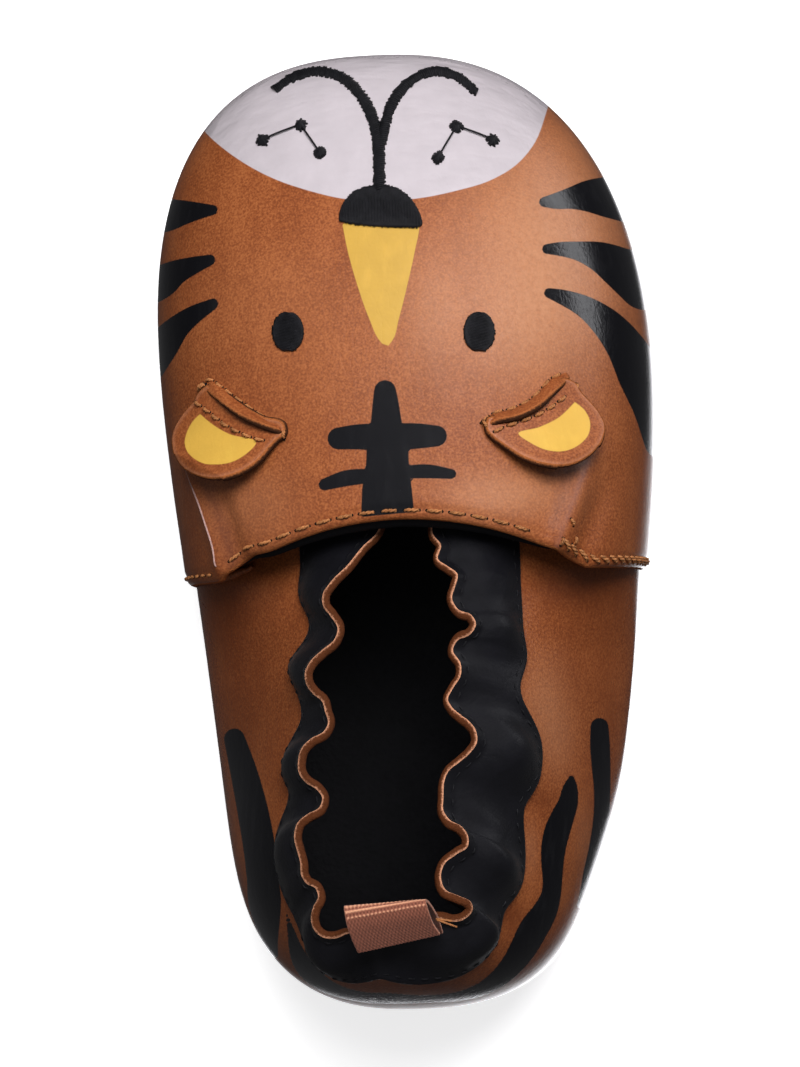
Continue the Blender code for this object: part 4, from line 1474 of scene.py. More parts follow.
THROAT_PITCH = 2.7
THROAT_STITCH = 1.85
EAR_PITCH = 1.85
EAR_STITCH = 1.25
RIGHT_FLANGE_PITCH = 1.9
RIGHT_FLANGE_STITCH = 1.75
RIGHT_FLANGE_SLANT = 0.9
RIGHT_FLANGE_RADIUS = 0.165
LEFT_FLANGE_PITCH = 2.2
LEFT_FLANGE_STITCH = 1.1
LEFT_FLANGE_LIFT = 0.15
LEFT_CORNER = 228.0
LEFT_FLANGE_END = 214.0
RIGHT_CORNER = 546.0
RIGHT_FLANGE_START = 562.0
BAR_TACKS = (((571, 519), (574, 527)), ((576, 537), (574, 546)), ((563, 538), (561, 545)))
TACK_PITCH = 3.0
BAR_TACK_STITCH = 0.9
EAR_TACK_STITCH = 1.0
EAR_TACK_LIFT = 0.6
PATH_STEPS = 60
# Rows of fuzz: seed, count, length, spread
EAR_FUZZ = {"ear_left": (100, 700, 0.35, 0.8), "ear_right": (101, 700, 0.35, 0.8)}
LIP_FUZZ = {"ear_left": (110, 260, 0.35, 0.8), "ear_right": (111, 260, 0.35, 0.8)}
THROAT_FUZZ = (140, 1100, 0.4, 0.8)
EAR_FUZZ_DEPTH, EAR_FUZZ_RISE = 0.4, 0.4
LIP_FUZZ_DEPTH, LIP_FUZZ_RISE = 0.4, 0.3
THROAT_FUZZ_DEPTH, THROAT_FUZZ_RISE = 0.5, 0.2


def throat_line(inset):
    """Points and outward directions along the vamp's rear edge, at a distance in from it."""
    count = VAMP_GRID[0] * VAMP_GRID[1]
    grid = VAMP_POINTS[:count].reshape(*VAMP_GRID, 3)
    normals = point_normals(VAMP_POINTS, VAMP_QUADS)[:count].reshape(*VAMP_GRID, 3)
    steps = np.linalg.norm(np.diff(grid, axis=0), axis=2)
    reach = np.concatenate((np.zeros((1, VAMP_GRID[1])), np.cumsum(steps, axis=0)))
    columns = range(VAMP_GRID[1])
    rows = np.array([np.interp(inset, reach[:, column], np.arange(VAMP_GRID[0])) for column in columns])
    low = rows.astype(int)
    share = (rows - low)[:, None]
    pair = grid, normals
    return [values[low, columns] * (1 - share) + values[low + 1, columns] * share for values in pair]


def path_on_face(pixels, lift=0.0):
    """Dense line over the face through a few pixels, with its directions out of the face."""
    line = spline_through(pixels, PATH_STEPS)
    heights = lift(line) if callable(lift) else np.full(len(line), lift)
    points = seen_on_face(line, heights)
    return points, vamp_normals(on_vamp(line))


def golden_rows():
    """Lines of every golden stitch, row by row, each with the directions out of the leather."""
    path, ups = throat_line(THROAT_STITCH_INSET)
    across = to_pixels(path)[:, 0]
    throat = (across > LEFT_CORNER) & (across < RIGHT_CORNER)
    left, right = across < LEFT_FLANGE_END, across > RIGHT_FLANGE_START
    yield sewn_lines(path[throat], ups[throat], THROAT_PITCH, THROAT_STITCH)
    yield sewn_lines(path[left], ups[left], LEFT_FLANGE_PITCH, LEFT_FLANGE_STITCH, lift=LEFT_FLANGE_LIFT)
    loops = sewn_lines(path[right], ups[right], RIGHT_FLANGE_PITCH, RIGHT_FLANGE_STITCH, RIGHT_FLANGE_SLANT)
    yield *loops, RIGHT_FLANGE_RADIUS
    for tack in BAR_TACKS:
        yield sewn_lines(*path_on_face(tack), TACK_PITCH, BAR_TACK_STITCH)
    for name in EAR_OUTLINE:
        path = path_on_face(EAR_STITCHES[name], lambda line: ear_lift(name, line))
        yield sewn_lines(*path, EAR_PITCH, EAR_STITCH)
        yield sewn_lines(*path_on_face(LIP_TOP[name]), EAR_PITCH, EAR_STITCH)
        for tack in EAR_TACKS[name]:
            yield sewn_lines(*path_on_face(tack, EAR_TACK_LIFT), TACK_PITCH, EAR_TACK_STITCH)


def make_ears_and_stitches():
    """Ears and their lips, the fuzz along raw edges, and every golden stitch, with painted shade in its
    needle holes.
    """
    fibres = []
    for name in EAR_OUTLINE:
        rim, ups = make_ear(name)
        fibres.append(fuzz(rim - ups * EAR_WALL * EAR_FUZZ_DEPTH, ups * EAR_FUZZ_RISE, *EAR_FUZZ[name]))
        rim, ups = make_lip(name)
        fibres.append(fuzz(rim - ups * LIP_WALL * LIP_FUZZ_DEPTH, ups * LIP_FUZZ_RISE, *LIP_FUZZ[name]))
    edge, ups = throat_line(0.0)
    fibres.append(fuzz(edge - ups * VAMP_WALL * THROAT_FUZZ_DEPTH, ups * THROAT_FUZZ_RISE, *THROAT_FUZZ))
    points, quads = joined(fibres)
    make_piece("leather_fibres", points, quads, (FIBRE_LEATHER,))
    rows = list(golden_rows())
    points, quads = joined([two_ply(*row) for row in rows])
    make_piece("golden_stitches", points, quads, (GOLD_THREAD,))
    # Dark plugs: painted shade in the needle holes
    points, quads = joined([needle_hole_shade(*row[:2]) for row in rows])
    make_piece("needle_hole_shade", points, quads, (LINING_CLOTH,))


make_ears_and_stitches()


# Heel panel

HEEL_STRIPES = (
    ((234.5, 739, 10.5), (244, 773, 13.5), (253, 812, 15.5), (259, 846, 16), (263, 882, 16),
     (264.5, 900, 16.5), (267, 920, 13), (270.5, 940, 7.5), (275, 955, 3)),
    ((571.5, 779, 3.5), (570, 790, 8), (568, 803, 10), (562, 818, 12), (557, 832, 13), (553.5, 848, 12.5),
     (552.5, 862, 11.5), (552.5, 880, 10), (551, 895, 10), (546, 909, 12), (533, 930, 14.5), (525, 945, 13.7),
     (514, 962, 11.5), (501, 976, 9.5), (482, 989, 7), (460, 996, 5), (425, 999, 4), (390, 998.5, 5.5),
     (362, 997, 5.5), (341, 992, 6), (325, 985, 7.5), (312, 975, 9), (302, 963, 9), (296, 950, 7),
     (292, 935, 4.5), (287, 915, 1.5)),
    ((599.5, 727, 9), (600, 745, 10), (601, 765, 9.5), (602, 785, 8.5), (602, 805, 8), (601, 825, 8.5),
     (598, 850, 9.5), (592, 875, 9), (586, 892, 6), (580, 905, 3)),
)
# Soft patches of painted sheen on the heel panel
HEEL_SHEEN_PATCHES = (
    (545, 700, 24, 44, 0.28), (558, 745, 18, 34, 0.20), (530, 850, 10, 30, 0.20), (585, 840, 10, 40, 0.15),
)
# Soft patches of painted shade on the heel panel
HEEL_SHADED = (
    (560, 588, 60, 24, 0.60), (595, 650, 40, 90, 0.42), (230, 610, 40, 30, 0.50), (245, 690, 40, 90, 0.45),
    (545, 800, 14, 14, 0.50), (512, 915, 16, 14, 0.60), (400, 988, 110, 10, 0.45), (610, 760, 10, 70, 0.30),
)
PANEL_COLUMNS = 430
PANEL_ROWS = 44


def panel_power(y):
    """How the heel panel leans in with height, along the foot."""
    change = ease((LEAN_CHANGE_START - y) / (LEAN_CHANGE_START - LEAN_CHANGE_END))
    fuller = ease((HEEL_FULL_START - y) / (HEEL_FULL_START - HEEL_FULL_END))
    power = LEAN_POWER_UNDER_VAMP + (LEAN_POWER_BEHIND - LEAN_POWER_UNDER_VAMP) * change
    return power + (LEAN_POWER_AT_HEEL - LEAN_POWER_BEHIND) * fuller


def panel_point(low, high, rise):
    """Points of the heel panel between its belly and seam lines, at a share of the rise."""
    plan = low + (high - low) * (rise ** panel_power(low[:, 1]))[:, None]
    top = SEAM_HEIGHT(high[:, 1])
    return np.column_stack((plan, BELLY_HEIGHT + (top - BELLY_HEIGHT) * rise))


# Collar lines read from the photograph, in pixels, from the right front round the heel to the left front

COLLAR_TOP_PIXELS = (
    (437, 492), (434, 515), (433, 534), (441, 545), (438, 559), (447.5, 566), (457.5, 574), (455, 587),
    (452, 598), (458.5, 609.5), (471.5, 615), (476, 624), (469.5, 635), (457, 641), (453, 650),
    (460.5, 663), (461, 674), (452, 690), (448, 699.5), (452, 707), (461, 715), (470, 722), (476, 731),
    (477, 742), (470, 753), (459, 762.5), (448, 772), (444.5, 781), (443.5, 797.5), (443.5, 810.5),
    (450, 820), (461, 826), (467.5, 834.5), (468, 846), (455.5, 855), (444.5, 864), (441, 877), (445, 889),
    (459.5, 896), (471, 902), (473, 908), (463, 920), (452, 922), (440, 919), (415, 921), (385, 926),
    (360, 931), (347, 934), (335, 938.5), (323, 937.5), (314, 930), (311, 921), (313, 907), (318, 897),
    (315, 888), (307, 884), (301.5, 876), (300, 862), (297, 851), (294, 838), (298, 822), (307.5, 814),
    (319.5, 807), (322, 797.5), (317, 790), (306, 783), (299, 773.5), (298, 760.5), (302, 747.5),
    (311, 738.5), (324, 731), (328, 723), (325, 712), (322, 701.5), (313, 694), (306.5, 685), (305, 672),
    (310.5, 661), (322, 650), (334.5, 639), (337.5, 628), (331, 617), (323, 606), (322.5, 595),
    (331, 581.5), (347.5, 565), (362.5, 546.5), (377, 532), (383, 515), (384, 492),
)
COLLAR_HEM_PIXELS = (
    (516, 492), (516, 554), (517, 583.5), (518, 609.5), (520, 637), (523.5, 656), (520.5, 669),
    (515.5, 682), (516.5, 698), (524, 714), (533, 729), (538, 744), (538.5, 760.5), (536, 779),
    (527.5, 794), (520, 803), (518.5, 818), (520, 836.5), (521, 850), (521, 867), (518, 885), (510, 898),
    (499, 909), (497, 923), (494, 939), (482, 956), (467, 968), (451, 975), (431, 979), (408, 979.5),
    (393, 976), (382.5, 972), (372, 975), (360, 978), (345, 977.5), (329, 970), (316, 958), (309, 938.5),
    (299.5, 915), (291, 899), (283.5, 877), (279.5, 849), (281.5, 836), (287, 818), (294, 805), (294, 788),
    (289, 781), (286.5, 770), (289, 755), (296.5, 740), (306, 729), (307.5, 712.5), (305, 698),
    (298.5, 685), (294, 675), (291, 665), (297.5, 656), (312, 642), (313.5, 617), (305, 606), (302.5, 591),
    (305, 572.5), (304, 554), (304, 492),
)
BAND_COLUMNS = 860
BAND_ROWS = 36
LINE_STEPS = 1200
LINE_REPEATS = 4
COLUMN_STEP = 2
RISE_STEPS = 150
LOWEST_HEM, HIGHEST_HEM = 0.5, 1.28
INNERMOST = 13.0
TOP_WINDOW = 26
HEM_WINDOW = 8
RISE_WINDOW = 5

PANEL_LOW = BELLY.inset(LAP_STEP).heel_round(PANEL_FRONT, BAND_COLUMNS)
PANEL_HIGH = SEAM.heel_round(PANEL_FRONT, BAND_COLUMNS)
PANEL_TUCK = 0.02

# Points of the heel panel's upper part, row by row
FEWER_LOW, FEWER_HIGH = PANEL_LOW[::COLUMN_STEP], PANEL_HIGH[::COLUMN_STEP]
PANEL_RISES = np.linspace(LOWEST_HEM, HIGHEST_HEM, RISE_STEPS)
PANEL_GRID = np.stack([
    panel_point(FEWER_LOW, FEWER_HIGH, np.full(len(FEWER_LOW), rise)) for rise in PANEL_RISES
])


def evened(values, window):
    """Running mean, three times over, that keeps a straight run straight to its ends."""
    base = np.linspace(values[0], values[-1], len(values))
    rest = values - base
    pad = ((window, window),) + ((0, 0),) * (values.ndim - 1)
    for repeat in range(3):
        padded = np.pad(rest, pad, mode="reflect", reflect_type="odd")
        sums = np.cumsum(np.concatenate((np.zeros((1, *padded.shape[1:])), padded)), axis=0)
        rest = (sums[2 * window + 1:] - sums[:-2 * window - 1]) / (2 * window + 1)
    return base + rest


def nearest_places(targets, grid):
    """Row and column of the grid's place that lies nearest to each target."""
    flat = grid.reshape(-1, 2)
    found = [np.argmin(np.sum((flat - target) ** 2, axis=1)) for target in targets]
    return np.unravel_index(found, grid.shape[:2])


def at_columns(columns, values, window):
    """Values along a collar line, read at every column of the band."""
    order = np.maximum.accumulate(evened(columns * float(COLUMN_STEP), window))
    order += np.arange(len(order)) * TINY
    return read_line(np.arange(BAND_COLUMNS + 1), order, values)


def collar_top():
    """Free edge of the band, a point for each column."""
    line = spline_through(COLLAR_TOP_PIXELS, LINE_STEPS)
    points = at_height(line, np.full(len(line), INSTEP_HEIGHT))
    for repeat in range(LINE_REPEATS):
        points = at_height(line, EDGE_HEIGHT(points[:, 1]))
    inward = unit(FEWER_HIGH - FEWER_LOW)
    reach = np.linspace(0.0, INNERMOST, RISE_STEPS)[:, None, None]
    row, column = nearest_places(points[:, :2], FEWER_HIGH + inward * reach)
    return at_columns(column, points, TOP_WINDOW)


def hem_rise():
    """Share of the heel panel's rise at which the collar's hem lies, for each column."""
    line = spline_through(COLLAR_HEM_PIXELS, LINE_STEPS)
    row, column = nearest_places(line, to_pixels(PANEL_GRID))
    return evened(at_columns(column, PANEL_RISES[row][:, None], HEM_WINDOW)[:, 0], RISE_WINDOW)


COLLAR_TOP = collar_top()
HEM_RISE = hem_rise()


def make_heel_panel():
    """Wall round the heel, up to where the collar's hem covers it."""
    step = BAND_COLUMNS // PANEL_COLUMNS
    low, high, top = PANEL_LOW[::step], PANEL_HIGH[::step], HEM_RISE[::step] + PANEL_TUCK
    path = BELLY.inset(LAP_STEP)
    wall = np.column_stack((low, np.full(len(low), BELLY_HEIGHT)))
    lines = []
    for ring in range(TURN_IN_RINGS, 0, -1):
        lines.append(turn_in_points(path, wall, ring / TURN_IN_RINGS, PANEL_BOTTOM_LIFT))
    for row in range(PANEL_ROWS + 1):
        lines.append(panel_point(low, high, top * row / PANEL_ROWS))
    outer = np.concatenate(lines)
    quads = grid_quads(len(lines), len(low))[:, ::-1]
    materials = (HEEL_LEATHER, CUT_EDGE, LINING_CLOTH)
    piece = make_wall("heel_panel", outer, quads, materials, PANEL_WALL)
    pixels = to_pixels(outer)
    set_values(piece, "stripes", deepest(pixels, HEEL_STRIPES))
    set_values(piece, "polish", rim_polish(outer))
    # Painted sheen and painted shade in soft patches
    set_values(piece, "painted_sheen", patches(pixels, HEEL_SHEEN_PATCHES))
    set_values(piece, "shaded", patches(pixels, HEEL_SHADED))
    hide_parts("upper")


make_heel_panel()


# Gathered collar band

BAND_STAND_OFF = 0.75
BAND_PUFF = 1.15
PILLOW = 1.0
PILLOW_BULGE = 0.05
PILLOW_WIDE = 55
PILLOW_WINDOW = 7
LEFT_FLATNESS = 0.6
OUTWARD_WINDOW = 22
EDGE_STRIP = 0.86
EDGE_STITCH_ROW = 0.88
HEM_STITCH_ROW = 0.08
COLLAR_PITCH = 1.7
COLLAR_STITCH = 0.95
COLLAR_THREAD_LIFT = 0.075
COLLAR_THREAD_RADIUS = 0.105
SWELL_POWER = 1.15
BAND_RIM = 0.7
COLLAR_FUZZ = (170, 2600, 0.26, 0.7)
COLLAR_FUZZ_DEPTH = 0.5
COLLAR_FUZZ_LEAN = 0.1
COLLAR_FUZZ_RISE = np.array((0.0, 0.0, 0.5))


def collar_surface():
    """Outer points of the band, row by row from its hem to its free edge."""
    hem = panel_point(PANEL_LOW, PANEL_HIGH, HEM_RISE)
    top = COLLAR_TOP
    even_hem, even_top = evened(hem, OUTWARD_WINDOW), evened(top, OUTWARD_WINDOW)
    outward = unit(np.cross(even_top - even_hem, np.gradient(even_hem * 0.5 + even_top * 0.5, axis=0)))
    bulge = (evened(HEM_RISE, PILLOW_WIDE) - HEM_RISE) / PILLOW_BULGE
    pillow = evened(np.clip(bulge, -1.0, 1.0), PILLOW_WINDOW)
    fullness = 1.0 - LEFT_FLATNESS * ease(-outward[:, 0])
    rows = []
    for row in range(BAND_ROWS + 1):
        share = row / BAND_ROWS
        swell = math.sin(math.pi * min(share / EDGE_STRIP, 1.0) ** SWELL_POWER)
        lift = BAND_STAND_OFF * (1.0 - share) + (BAND_PUFF + PILLOW * pillow) * swell * fullness
        rows.append(hem + (top - hem) * share + outward * lift[:, None])
    return np.concatenate(rows)


def make_collar_band():
    """Band, and the black stitches along its free edge and its hem."""
    outer = collar_surface()
    quads = grid_quads(BAND_ROWS + 1, BAND_COLUMNS + 1)[:, ::-1]
    hemmed = np.arange(len(outer)) <= BAND_ROWS * (BAND_COLUMNS + 1)
    materials = (COLLAR_LEATHER, COLLAR_EDGE, LINING_CLOTH)
    piece = make_wall("collar_band", outer, quads, materials, BAND_WALL, BAND_RIM, hemmed)
    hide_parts("collar_band")
    grid = outer.reshape(BAND_ROWS + 1, BAND_COLUMNS + 1, 3)
    normals = point_normals(outer, quads).reshape(grid.shape)
    rows = []
    for share in (EDGE_STITCH_ROW, HEM_STITCH_ROW):
        row = round(share * BAND_ROWS)
        stitches = sewn_lines(grid[row], normals[row], COLLAR_PITCH, COLLAR_STITCH, lift=COLLAR_THREAD_LIFT)
        rows.append(tubes(*stitches, COLLAR_THREAD_RADIUS))
    points, quads = joined(rows)
    make_piece("collar_stitches", points, quads, (BLACK_THREAD,))
    rim = grid[-1] - normals[-1] * BAND_WALL * COLLAR_FUZZ_DEPTH
    points, quads = fuzz(rim, normals[-1] * COLLAR_FUZZ_LEAN + COLLAR_FUZZ_RISE, *COLLAR_FUZZ)
    make_piece("collar_fibres", points, quads, (FIBRE_LEATHER,))


make_collar_band()


# Black lining that shows under the throat, the end of the left flange, and the painted highlight along the
# left fold

LINING_LEFT, LINING_RIGHT = 232.0, 556.0
LINING_SHOW = 1.5
LINING_DROP = 1.0
LINING_ROWS = 6
LINING_WALL = 0.4
LINING_DEPTH = 0.85
LINING_FULLNESS = 0.3
FLANGE_STRIP = ((196, 580, 5.5), (212, 579.5, 5.5), (224, 577.5, 5.0), (238, 573, 3.6), (253, 567.5, 2.0))
STRIP_STEPS = 60
STRIP_LIFT = 0.9
STRIP_WINDOW = 3
STRIP_SIDES = 16
PIXEL_SIZE = 0.128
FOLD_HIGHLIGHT_LINE = ((186, 470), (190.6, 479), (205, 506), (213, 529), (219, 550), (221, 566.5))
FOLD_HIGHLIGHT_RADIUS = 0.13
FOLD_HIGHLIGHT_TAPER = 4.0
FOLD_HIGHLIGHT_THINNEST = 0.2


def make_throat_lining():
    """Strip of black lining that shows below the throat's edge."""
    edge, ups = throat_line(0.0)
    across = to_pixels(edge)[:, 0]
    shown = (across > LINING_LEFT) & (across < LINING_RIGHT)
    edge, ups = edge[shown], ups[shown]
    taper = np.sin(math.pi * np.linspace(0.0, 1.0, len(edge))) ** LINING_FULLNESS
    rows = []
    for row in range(LINING_ROWS + 1):
        share = row / LINING_ROWS
        drop = np.array((0.0, -LINING_SHOW * share, -LINING_DROP * share ** 2))
        rows.append(edge - ups * (VAMP_WALL * LINING_DEPTH) + taper[:, None] * drop)
    outer = np.concatenate(rows)
    points, quads, places, depth = shell(outer, grid_quads(LINING_ROWS + 1, len(edge)), LINING_WALL)
    make_piece("throat_lining", points, quads, (LINING_CLOTH,))


def make_flange_strip():
    """Rolled end of the left flange, on the heel panel."""
    strip = spline_through(FLANGE_STRIP, STRIP_STEPS)
    row, column = nearest_places(strip[:, :2], to_pixels(PANEL_GRID))
    line = evened(PANEL_GRID[row, column], STRIP_WINDOW) - CAMERA_FORWARD * STRIP_LIFT
    points, quads = tubes(line[None], -CAMERA_FORWARD[None], (strip[:, 2] * PIXEL_SIZE)[None], STRIP_SIDES)
    piece = make_piece("flange_strip", points, quads, (HEEL_LEATHER,))
    set_values(piece, "stripes", ())


def make_fold_highlight():
    """Painted highlight: a thin pale tube along the left fold's crease."""
    line = spline_through(FOLD_HIGHLIGHT_LINE, STRIP_STEPS)
    taper = np.clip(np.linspace(0.0, FOLD_HIGHLIGHT_TAPER, len(line)), FOLD_HIGHLIGHT_THINNEST, 1.0)
    points, quads = tubes(on_face(line)[None], -CAMERA_FORWARD[None], FOLD_HIGHLIGHT_RADIUS * taper[None])
    make_piece("painted_fold_highlight", points, quads, (FOLD_HIGHLIGHT_LEATHER,))


make_throat_lining()
make_flange_strip()
make_fold_highlight()


# Sole and insole

DISC_CELLS = 90
SOLE_ROUND = 0.5


def make_plate(name, inset, rise, wall, material):
    """Flat piece along the foot, its edge rounded."""
    a, b = full_disc(DISC_CELLS)
    path = BELLY.inset(inset + SOLE_ROUND * wall / 2)
    reach = np.hypot(a, b)
    rim = path.point(np.arctan2(b, a).ravel())
    plan = rim * reach.reshape(-1, 1)
    top = np.column_stack((plan, sole_lift(plan[:, 1]) + rise))
    points, quads, places, depth = shell(top, grid_quads(*a.shape), wall, SOLE_ROUND)
    piece = make_piece(name, points, quads, (material,))
    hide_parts(name)


SOLE_SUEDE = plain_cloth("sole_suede", SUEDE_BROWN, rough=0.9, gloss=0.15, size=0.5, depth=0.12, sheen=0.3)
INSOLE_CLOTH = plain_cloth("insole_cloth", LINING_BLACK, rough=0.55, gloss=0.25, size=0.5, depth=0.06)
INSOLE_RISE = SOLE_THICKNESS + GAP + INSOLE_THICKNESS
make_plate("sole", SOLE_INSET, SOLE_THICKNESS, SOLE_THICKNESS, SOLE_SUEDE)
make_plate("insole", INSOLE_INSET, INSOLE_RISE, INSOLE_THICKNESS, INSOLE_CLOTH)


# Pull tab of woven webbing, folded over the collar's edge

TAB_WALL = 0.45
TAB_RIM = 0.5
# Rows of the tab: left pixel, right pixel, height
TAB_ROWS = (
    ((352, 931), (442.5, 931), 42.6),
    ((347, 918), (437, 915), 44.6),
    ((344.8, 909), (430, 903.0), 46.8),
    ((344.6, 905.5), (426.0, 899.0), 48.0),
    ((344.8, 909), (425.0, 902), 48.7),
    ((347.5, 925), (428.5, 914), 48.4),
    ((353, 941), (433, 925.5), 47.3),
    ((358.5, 953.0), (439.5, 935.0), 46.2),
)
TAB_COLUMNS = 136
TAB_STEPS = 190
YARNS_ACROSS = 46
YARN_PITCH = 0.40
WEAVE_DEPTH = 0.05
# Rows of a rib: place along the tape, half width there, how deep it is notched into dots
RIBS = ((0.524, 0.019, 0.45), (0.573, 0.015, 0.10), (0.628, 0.0115, 0.60))
RIB_DOTS = 20
RIB_HEIGHT = 0.10
RIB_SHINE = 1.00
RIB_SINK = 0.15
YARN_TONE = 0.32
YARN_CONTRAST = 0.28
INNER_SHADE = 0.15
SELVAGE_TONE = 0.72
SELVAGE_FADE = 9.0
WEBBING_FIBRE = 0.12
WEBBING_DEPTH = 0.05
WEBBING_WEIGHTS = (0.7, 0.3)
WEBBING_STOPS = ((0.15, scaled(WEBBING_BROWN, 0.35)), (0.55, WEBBING_BROWN), (0.95, WEBBING_PALE))
LOOSE_THREADS = (((437, 920), (457, 927)), ((436, 919), (452, 921)))
LOOSE_HEIGHT = 46.5
LOOSE_RADIUS = 0.13


def webbing(name):
    """Woven tape, darker between its yarns."""
    finish = Finish(name, {"Roughness": 0.72, "Specular IOR Level": 0.3, "Sheen Weight": 0.15})
    fibres = finish.noise(WEBBING_FIBRE, detail=3.0)
    tone = finish.mixture(*zip((finish.value("yarn"), fibres), WEBBING_WEIGHTS))
    shade = finish.ramp(tone, WEBBING_STOPS)
    return finish.use(Base_Color=shade, Normal=finish.bump(fibres, WEBBING_DEPTH))


def tab_edge(side):
    """One edge of the tape, from its inner end over the fold to its outer end."""
    rows = [at_height(row[side], np.float64(row[2])) for row in TAB_ROWS]
    return smooth_line(np.arange(len(rows)), np.array(rows), TAB_STEPS)


def make_pull_tab():
    """Hairpin of webbing over the collar's edge, its yarns raised."""
    left, right = tab_edge(0), tab_edge(1)
    across = np.linspace(0.0, 1.0, TAB_COLUMNS + 1)
    points = (left[:, None] + (right - left)[:, None] * across[:, None]).reshape(-1, 3)
    quads = grid_quads(TAB_STEPS + 1, TAB_COLUMNS + 1)[:, ::-1]
    normals = point_normals(points, quads)
    run = run_along((left + right) / 2)[-1]
    step = np.arange(TAB_STEPS + 1)[:, None] / TAB_STEPS
    over = np.sin(math.pi * across * YARNS_ACROSS) * np.sin(math.pi * step * run / YARN_PITCH)
    wave = 0.5 + 0.5 * np.cos(2 * math.pi * across * RIB_DOTS)
    ribs = np.zeros_like(over)
    dotted = np.zeros_like(over)
    for place, half_width, notch in RIBS:
        rib = np.exp(-((step - place) / half_width) ** 2)
        ribs = np.maximum(ribs, rib)
        dotted = np.maximum(dotted, rib * (1.0 - notch * wave))
    inside = np.minimum(np.minimum(across, 1.0 - across) * SELVAGE_FADE, 1.0)
    height = (WEAVE_DEPTH * over * (1.0 - ribs) + RIB_HEIGHT * dotted) * inside
    raised = points + normals * height.reshape(-1, 1)
    points, quads, places, depth = shell(raised, quads, TAB_WALL, TAB_RIM)
    piece = make_piece("pull_tab", points, quads, (webbing("webbing"),))
    yarn = (YARN_TONE + YARN_CONTRAST * over * (1.0 - ribs) - RIB_SINK * ribs + RIB_SHINE * dotted).ravel()
    rim = np.full(len(points) - 2 * len(yarn), SELVAGE_TONE)
    set_values(piece, "yarn", np.concatenate((yarn, INNER_SHADE * yarn, rim)))
    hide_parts("pull_tab")
    ends = at_height(LOOSE_THREADS, np.full((len(LOOSE_THREADS), 2), LOOSE_HEIGHT))
    ups = np.tile((0.0, 0.0, 1.0), (len(ends), 1))
    points, quads = tubes(ends, ups, LOOSE_RADIUS)
    make_piece("loose_threads", points, quads, (GOLD_THREAD,))


make_pull_tab()


# Floor, light and camera

FLOOR_HALF = 900.0
FLOOR_WHITE = (0.86, 0.86, 0.87)
FLOOR_GLOW = 0.72
FLOOR_CLOUD = 40.0
FLOOR_STOPS = ((0.3, scaled(FLOOR_WHITE, 0.985)), (0.7, FLOOR_WHITE))

# Direction of the surround's highest point, and its brightness from the lowest (0) to the highest (1)
SURROUND_UP = (-0.050, 0.100, 0.994)
SURROUND = (
    (0.0, 3.60), (0.008, 2.60), (0.022, 0.07), (0.40, 0.03), (0.52, 0.05), (0.70, 0.14), (1.0, 0.23),
)
SURROUND_TINT = (0.97, 0.965, 1.0)
LIGHT_AIM = Vector((0.0, 0.0, 20.0)) * MM


def mirror_place(pixel, distance):
    """Where a light stands so that its reflection in the face lies at a pixel."""
    point = on_vamp(np.array((pixel,), float))[0]
    normal = vamp_normals(point[None])[0]
    view = unit(point - CAMERA_PLACE)
    return point + (view - 2 * (view @ normal) * normal) * distance


# Rows: name, place in millimetres, size in metres, power, colour, whether it is seen in gloss
LIGHTS = (
    ("key", (60.0, 430.0, 950.0), (0.5, 0.5), 7.5, (1.0, 0.99, 0.97), False),
    ("toe_box", (340.0, 520.0, 880.0), (0.45, 0.45), 5.5, (1.0, 0.98, 1.0), False),
    ("toe_sheen", (340.0, 520.0, 880.0), (0.45, 0.45), 3.2, (1.0, 0.98, 1.0), True),
    ("right_box", mirror_place((572, 245), 700.0), (0.50, 0.22), 1.2, (0.97, 0.97, 1.0), True),
)


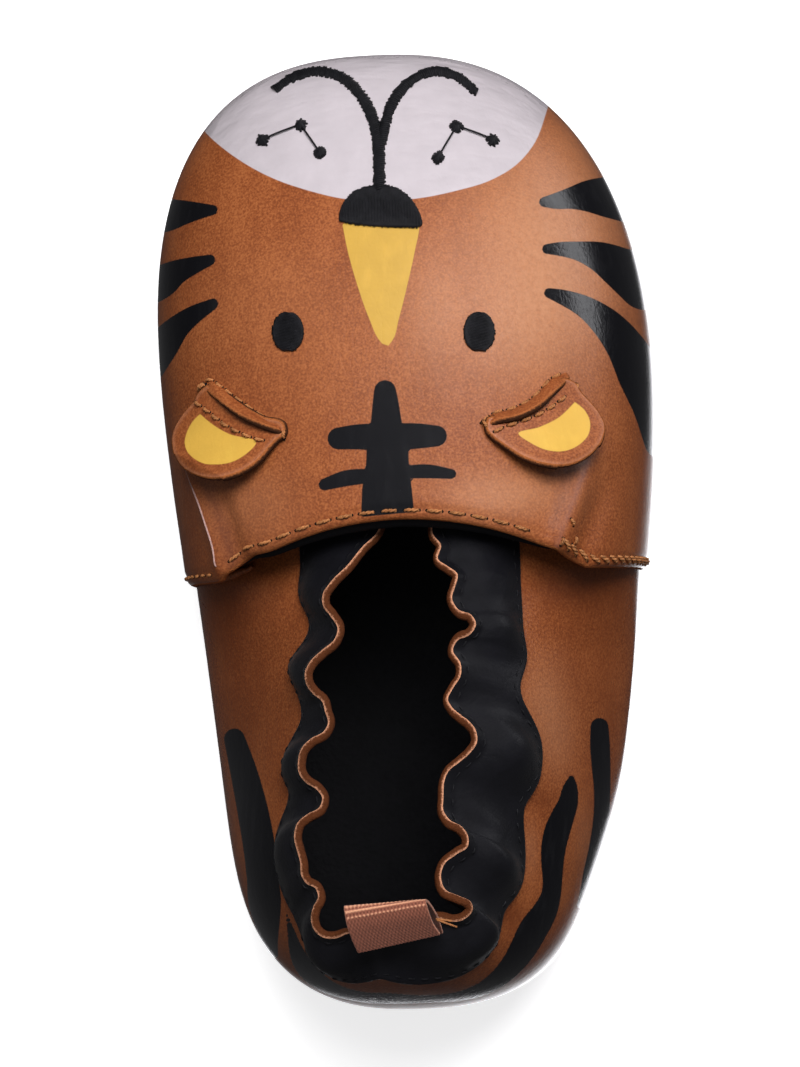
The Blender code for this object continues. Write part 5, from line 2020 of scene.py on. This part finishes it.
def make_floor():
    """White paper under the shoe. It glows for the camera and throws no light on the shoe."""
    corners = [(x, y, 0.0) for x, y in ((-1, -1), (1, -1), (1, 1), (-1, 1))]
    mesh = bpy.data.meshes.new("floor")
    mesh.from_pydata([Vector(corner) * FLOOR_HALF * MM for corner in corners], [], [(0, 1, 2, 3)])
    glow = {"Emission Color": (1.0, 1.0, 1.0, 1.0), "Emission Strength": FLOOR_GLOW}
    finish = Finish("floor_paper", {"Roughness": 0.9, "Specular IOR Level": 0.1, **glow})
    shade = finish.ramp(finish.noise(FLOOR_CLOUD), FLOOR_STOPS)
    mesh.materials.append(finish.use(Base_Color=shade))
    floor = new_object("floor", mesh)
    floor.visible_diffuse = False
    floor.visible_glossy = False
    floor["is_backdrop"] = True


def soft_light(name, place, size, power, colour, shines):
    """Large area light aimed at the shoe. It either shows in gloss or lights the leather."""
    data = bpy.data.lights.new(name, "AREA")
    data.shape = "RECTANGLE"
    data.size, data.size_y = size
    data.energy = power
    data.color = colour
    light = new_object(name, data)
    light.location = Vector(place) * MM
    light.rotation_euler = (LIGHT_AIM - light.location).to_track_quat("-Z", "Y").to_euler()
    light.visible_glossy = shines
    light.visible_diffuse = not shines


def make_camera():
    """Camera of the photograph."""
    data = bpy.data.cameras.new("photo_camera")
    data.sensor_fit = "VERTICAL"
    data.sensor_height = SENSOR
    data.lens = FOCAL_PIXELS * SENSOR / IMAGE_HEIGHT
    camera = new_object("photo_camera", data)
    axes = Matrix((CAMERA_RIGHT, CAMERA_UP, -CAMERA_FORWARD)).transposed().to_4x4()
    camera.matrix_world = Matrix.Translation(Vector(CAMERA_PLACE) * MM) @ axes
    bpy.context.scene.camera = camera


def make_world():
    """Soft surround, graded by height."""
    world = bpy.data.worlds.new("studio")
    world.use_nodes = True
    nodes, links = world.node_tree.nodes, world.node_tree.links
    direction = nodes.new("ShaderNodeTexCoord").outputs["Generated"]
    lean = nodes.new("ShaderNodeVectorMath")
    lean.operation = "DOT_PRODUCT"
    lean.inputs[1].default_value = SURROUND_UP
    height = nodes.new("ShaderNodeMapRange")
    height.inputs["From Min"].default_value = -1.0
    ramp = nodes.new("ShaderNodeValToRGB")
    fill_ramp(ramp.color_ramp, [(place, scaled(SURROUND_TINT, glow)) for place, glow in SURROUND])
    links.new(direction, lean.inputs[0])
    links.new(lean.outputs["Value"], height.inputs["Value"])
    links.new(height.outputs[0], ramp.inputs["Fac"])
    links.new(ramp.outputs["Color"], nodes["Background"].inputs["Color"])
    bpy.context.scene.world = world
    bpy.context.scene.view_settings.view_transform = "Standard"


make_floor()
make_world()
make_camera()
for row in LIGHTS:
    soft_light(*row)

boxes = {"cad": CAD_BOX, "visual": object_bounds()}
{name: [list(corner) for corner in box] for name, box in boxes.items()}
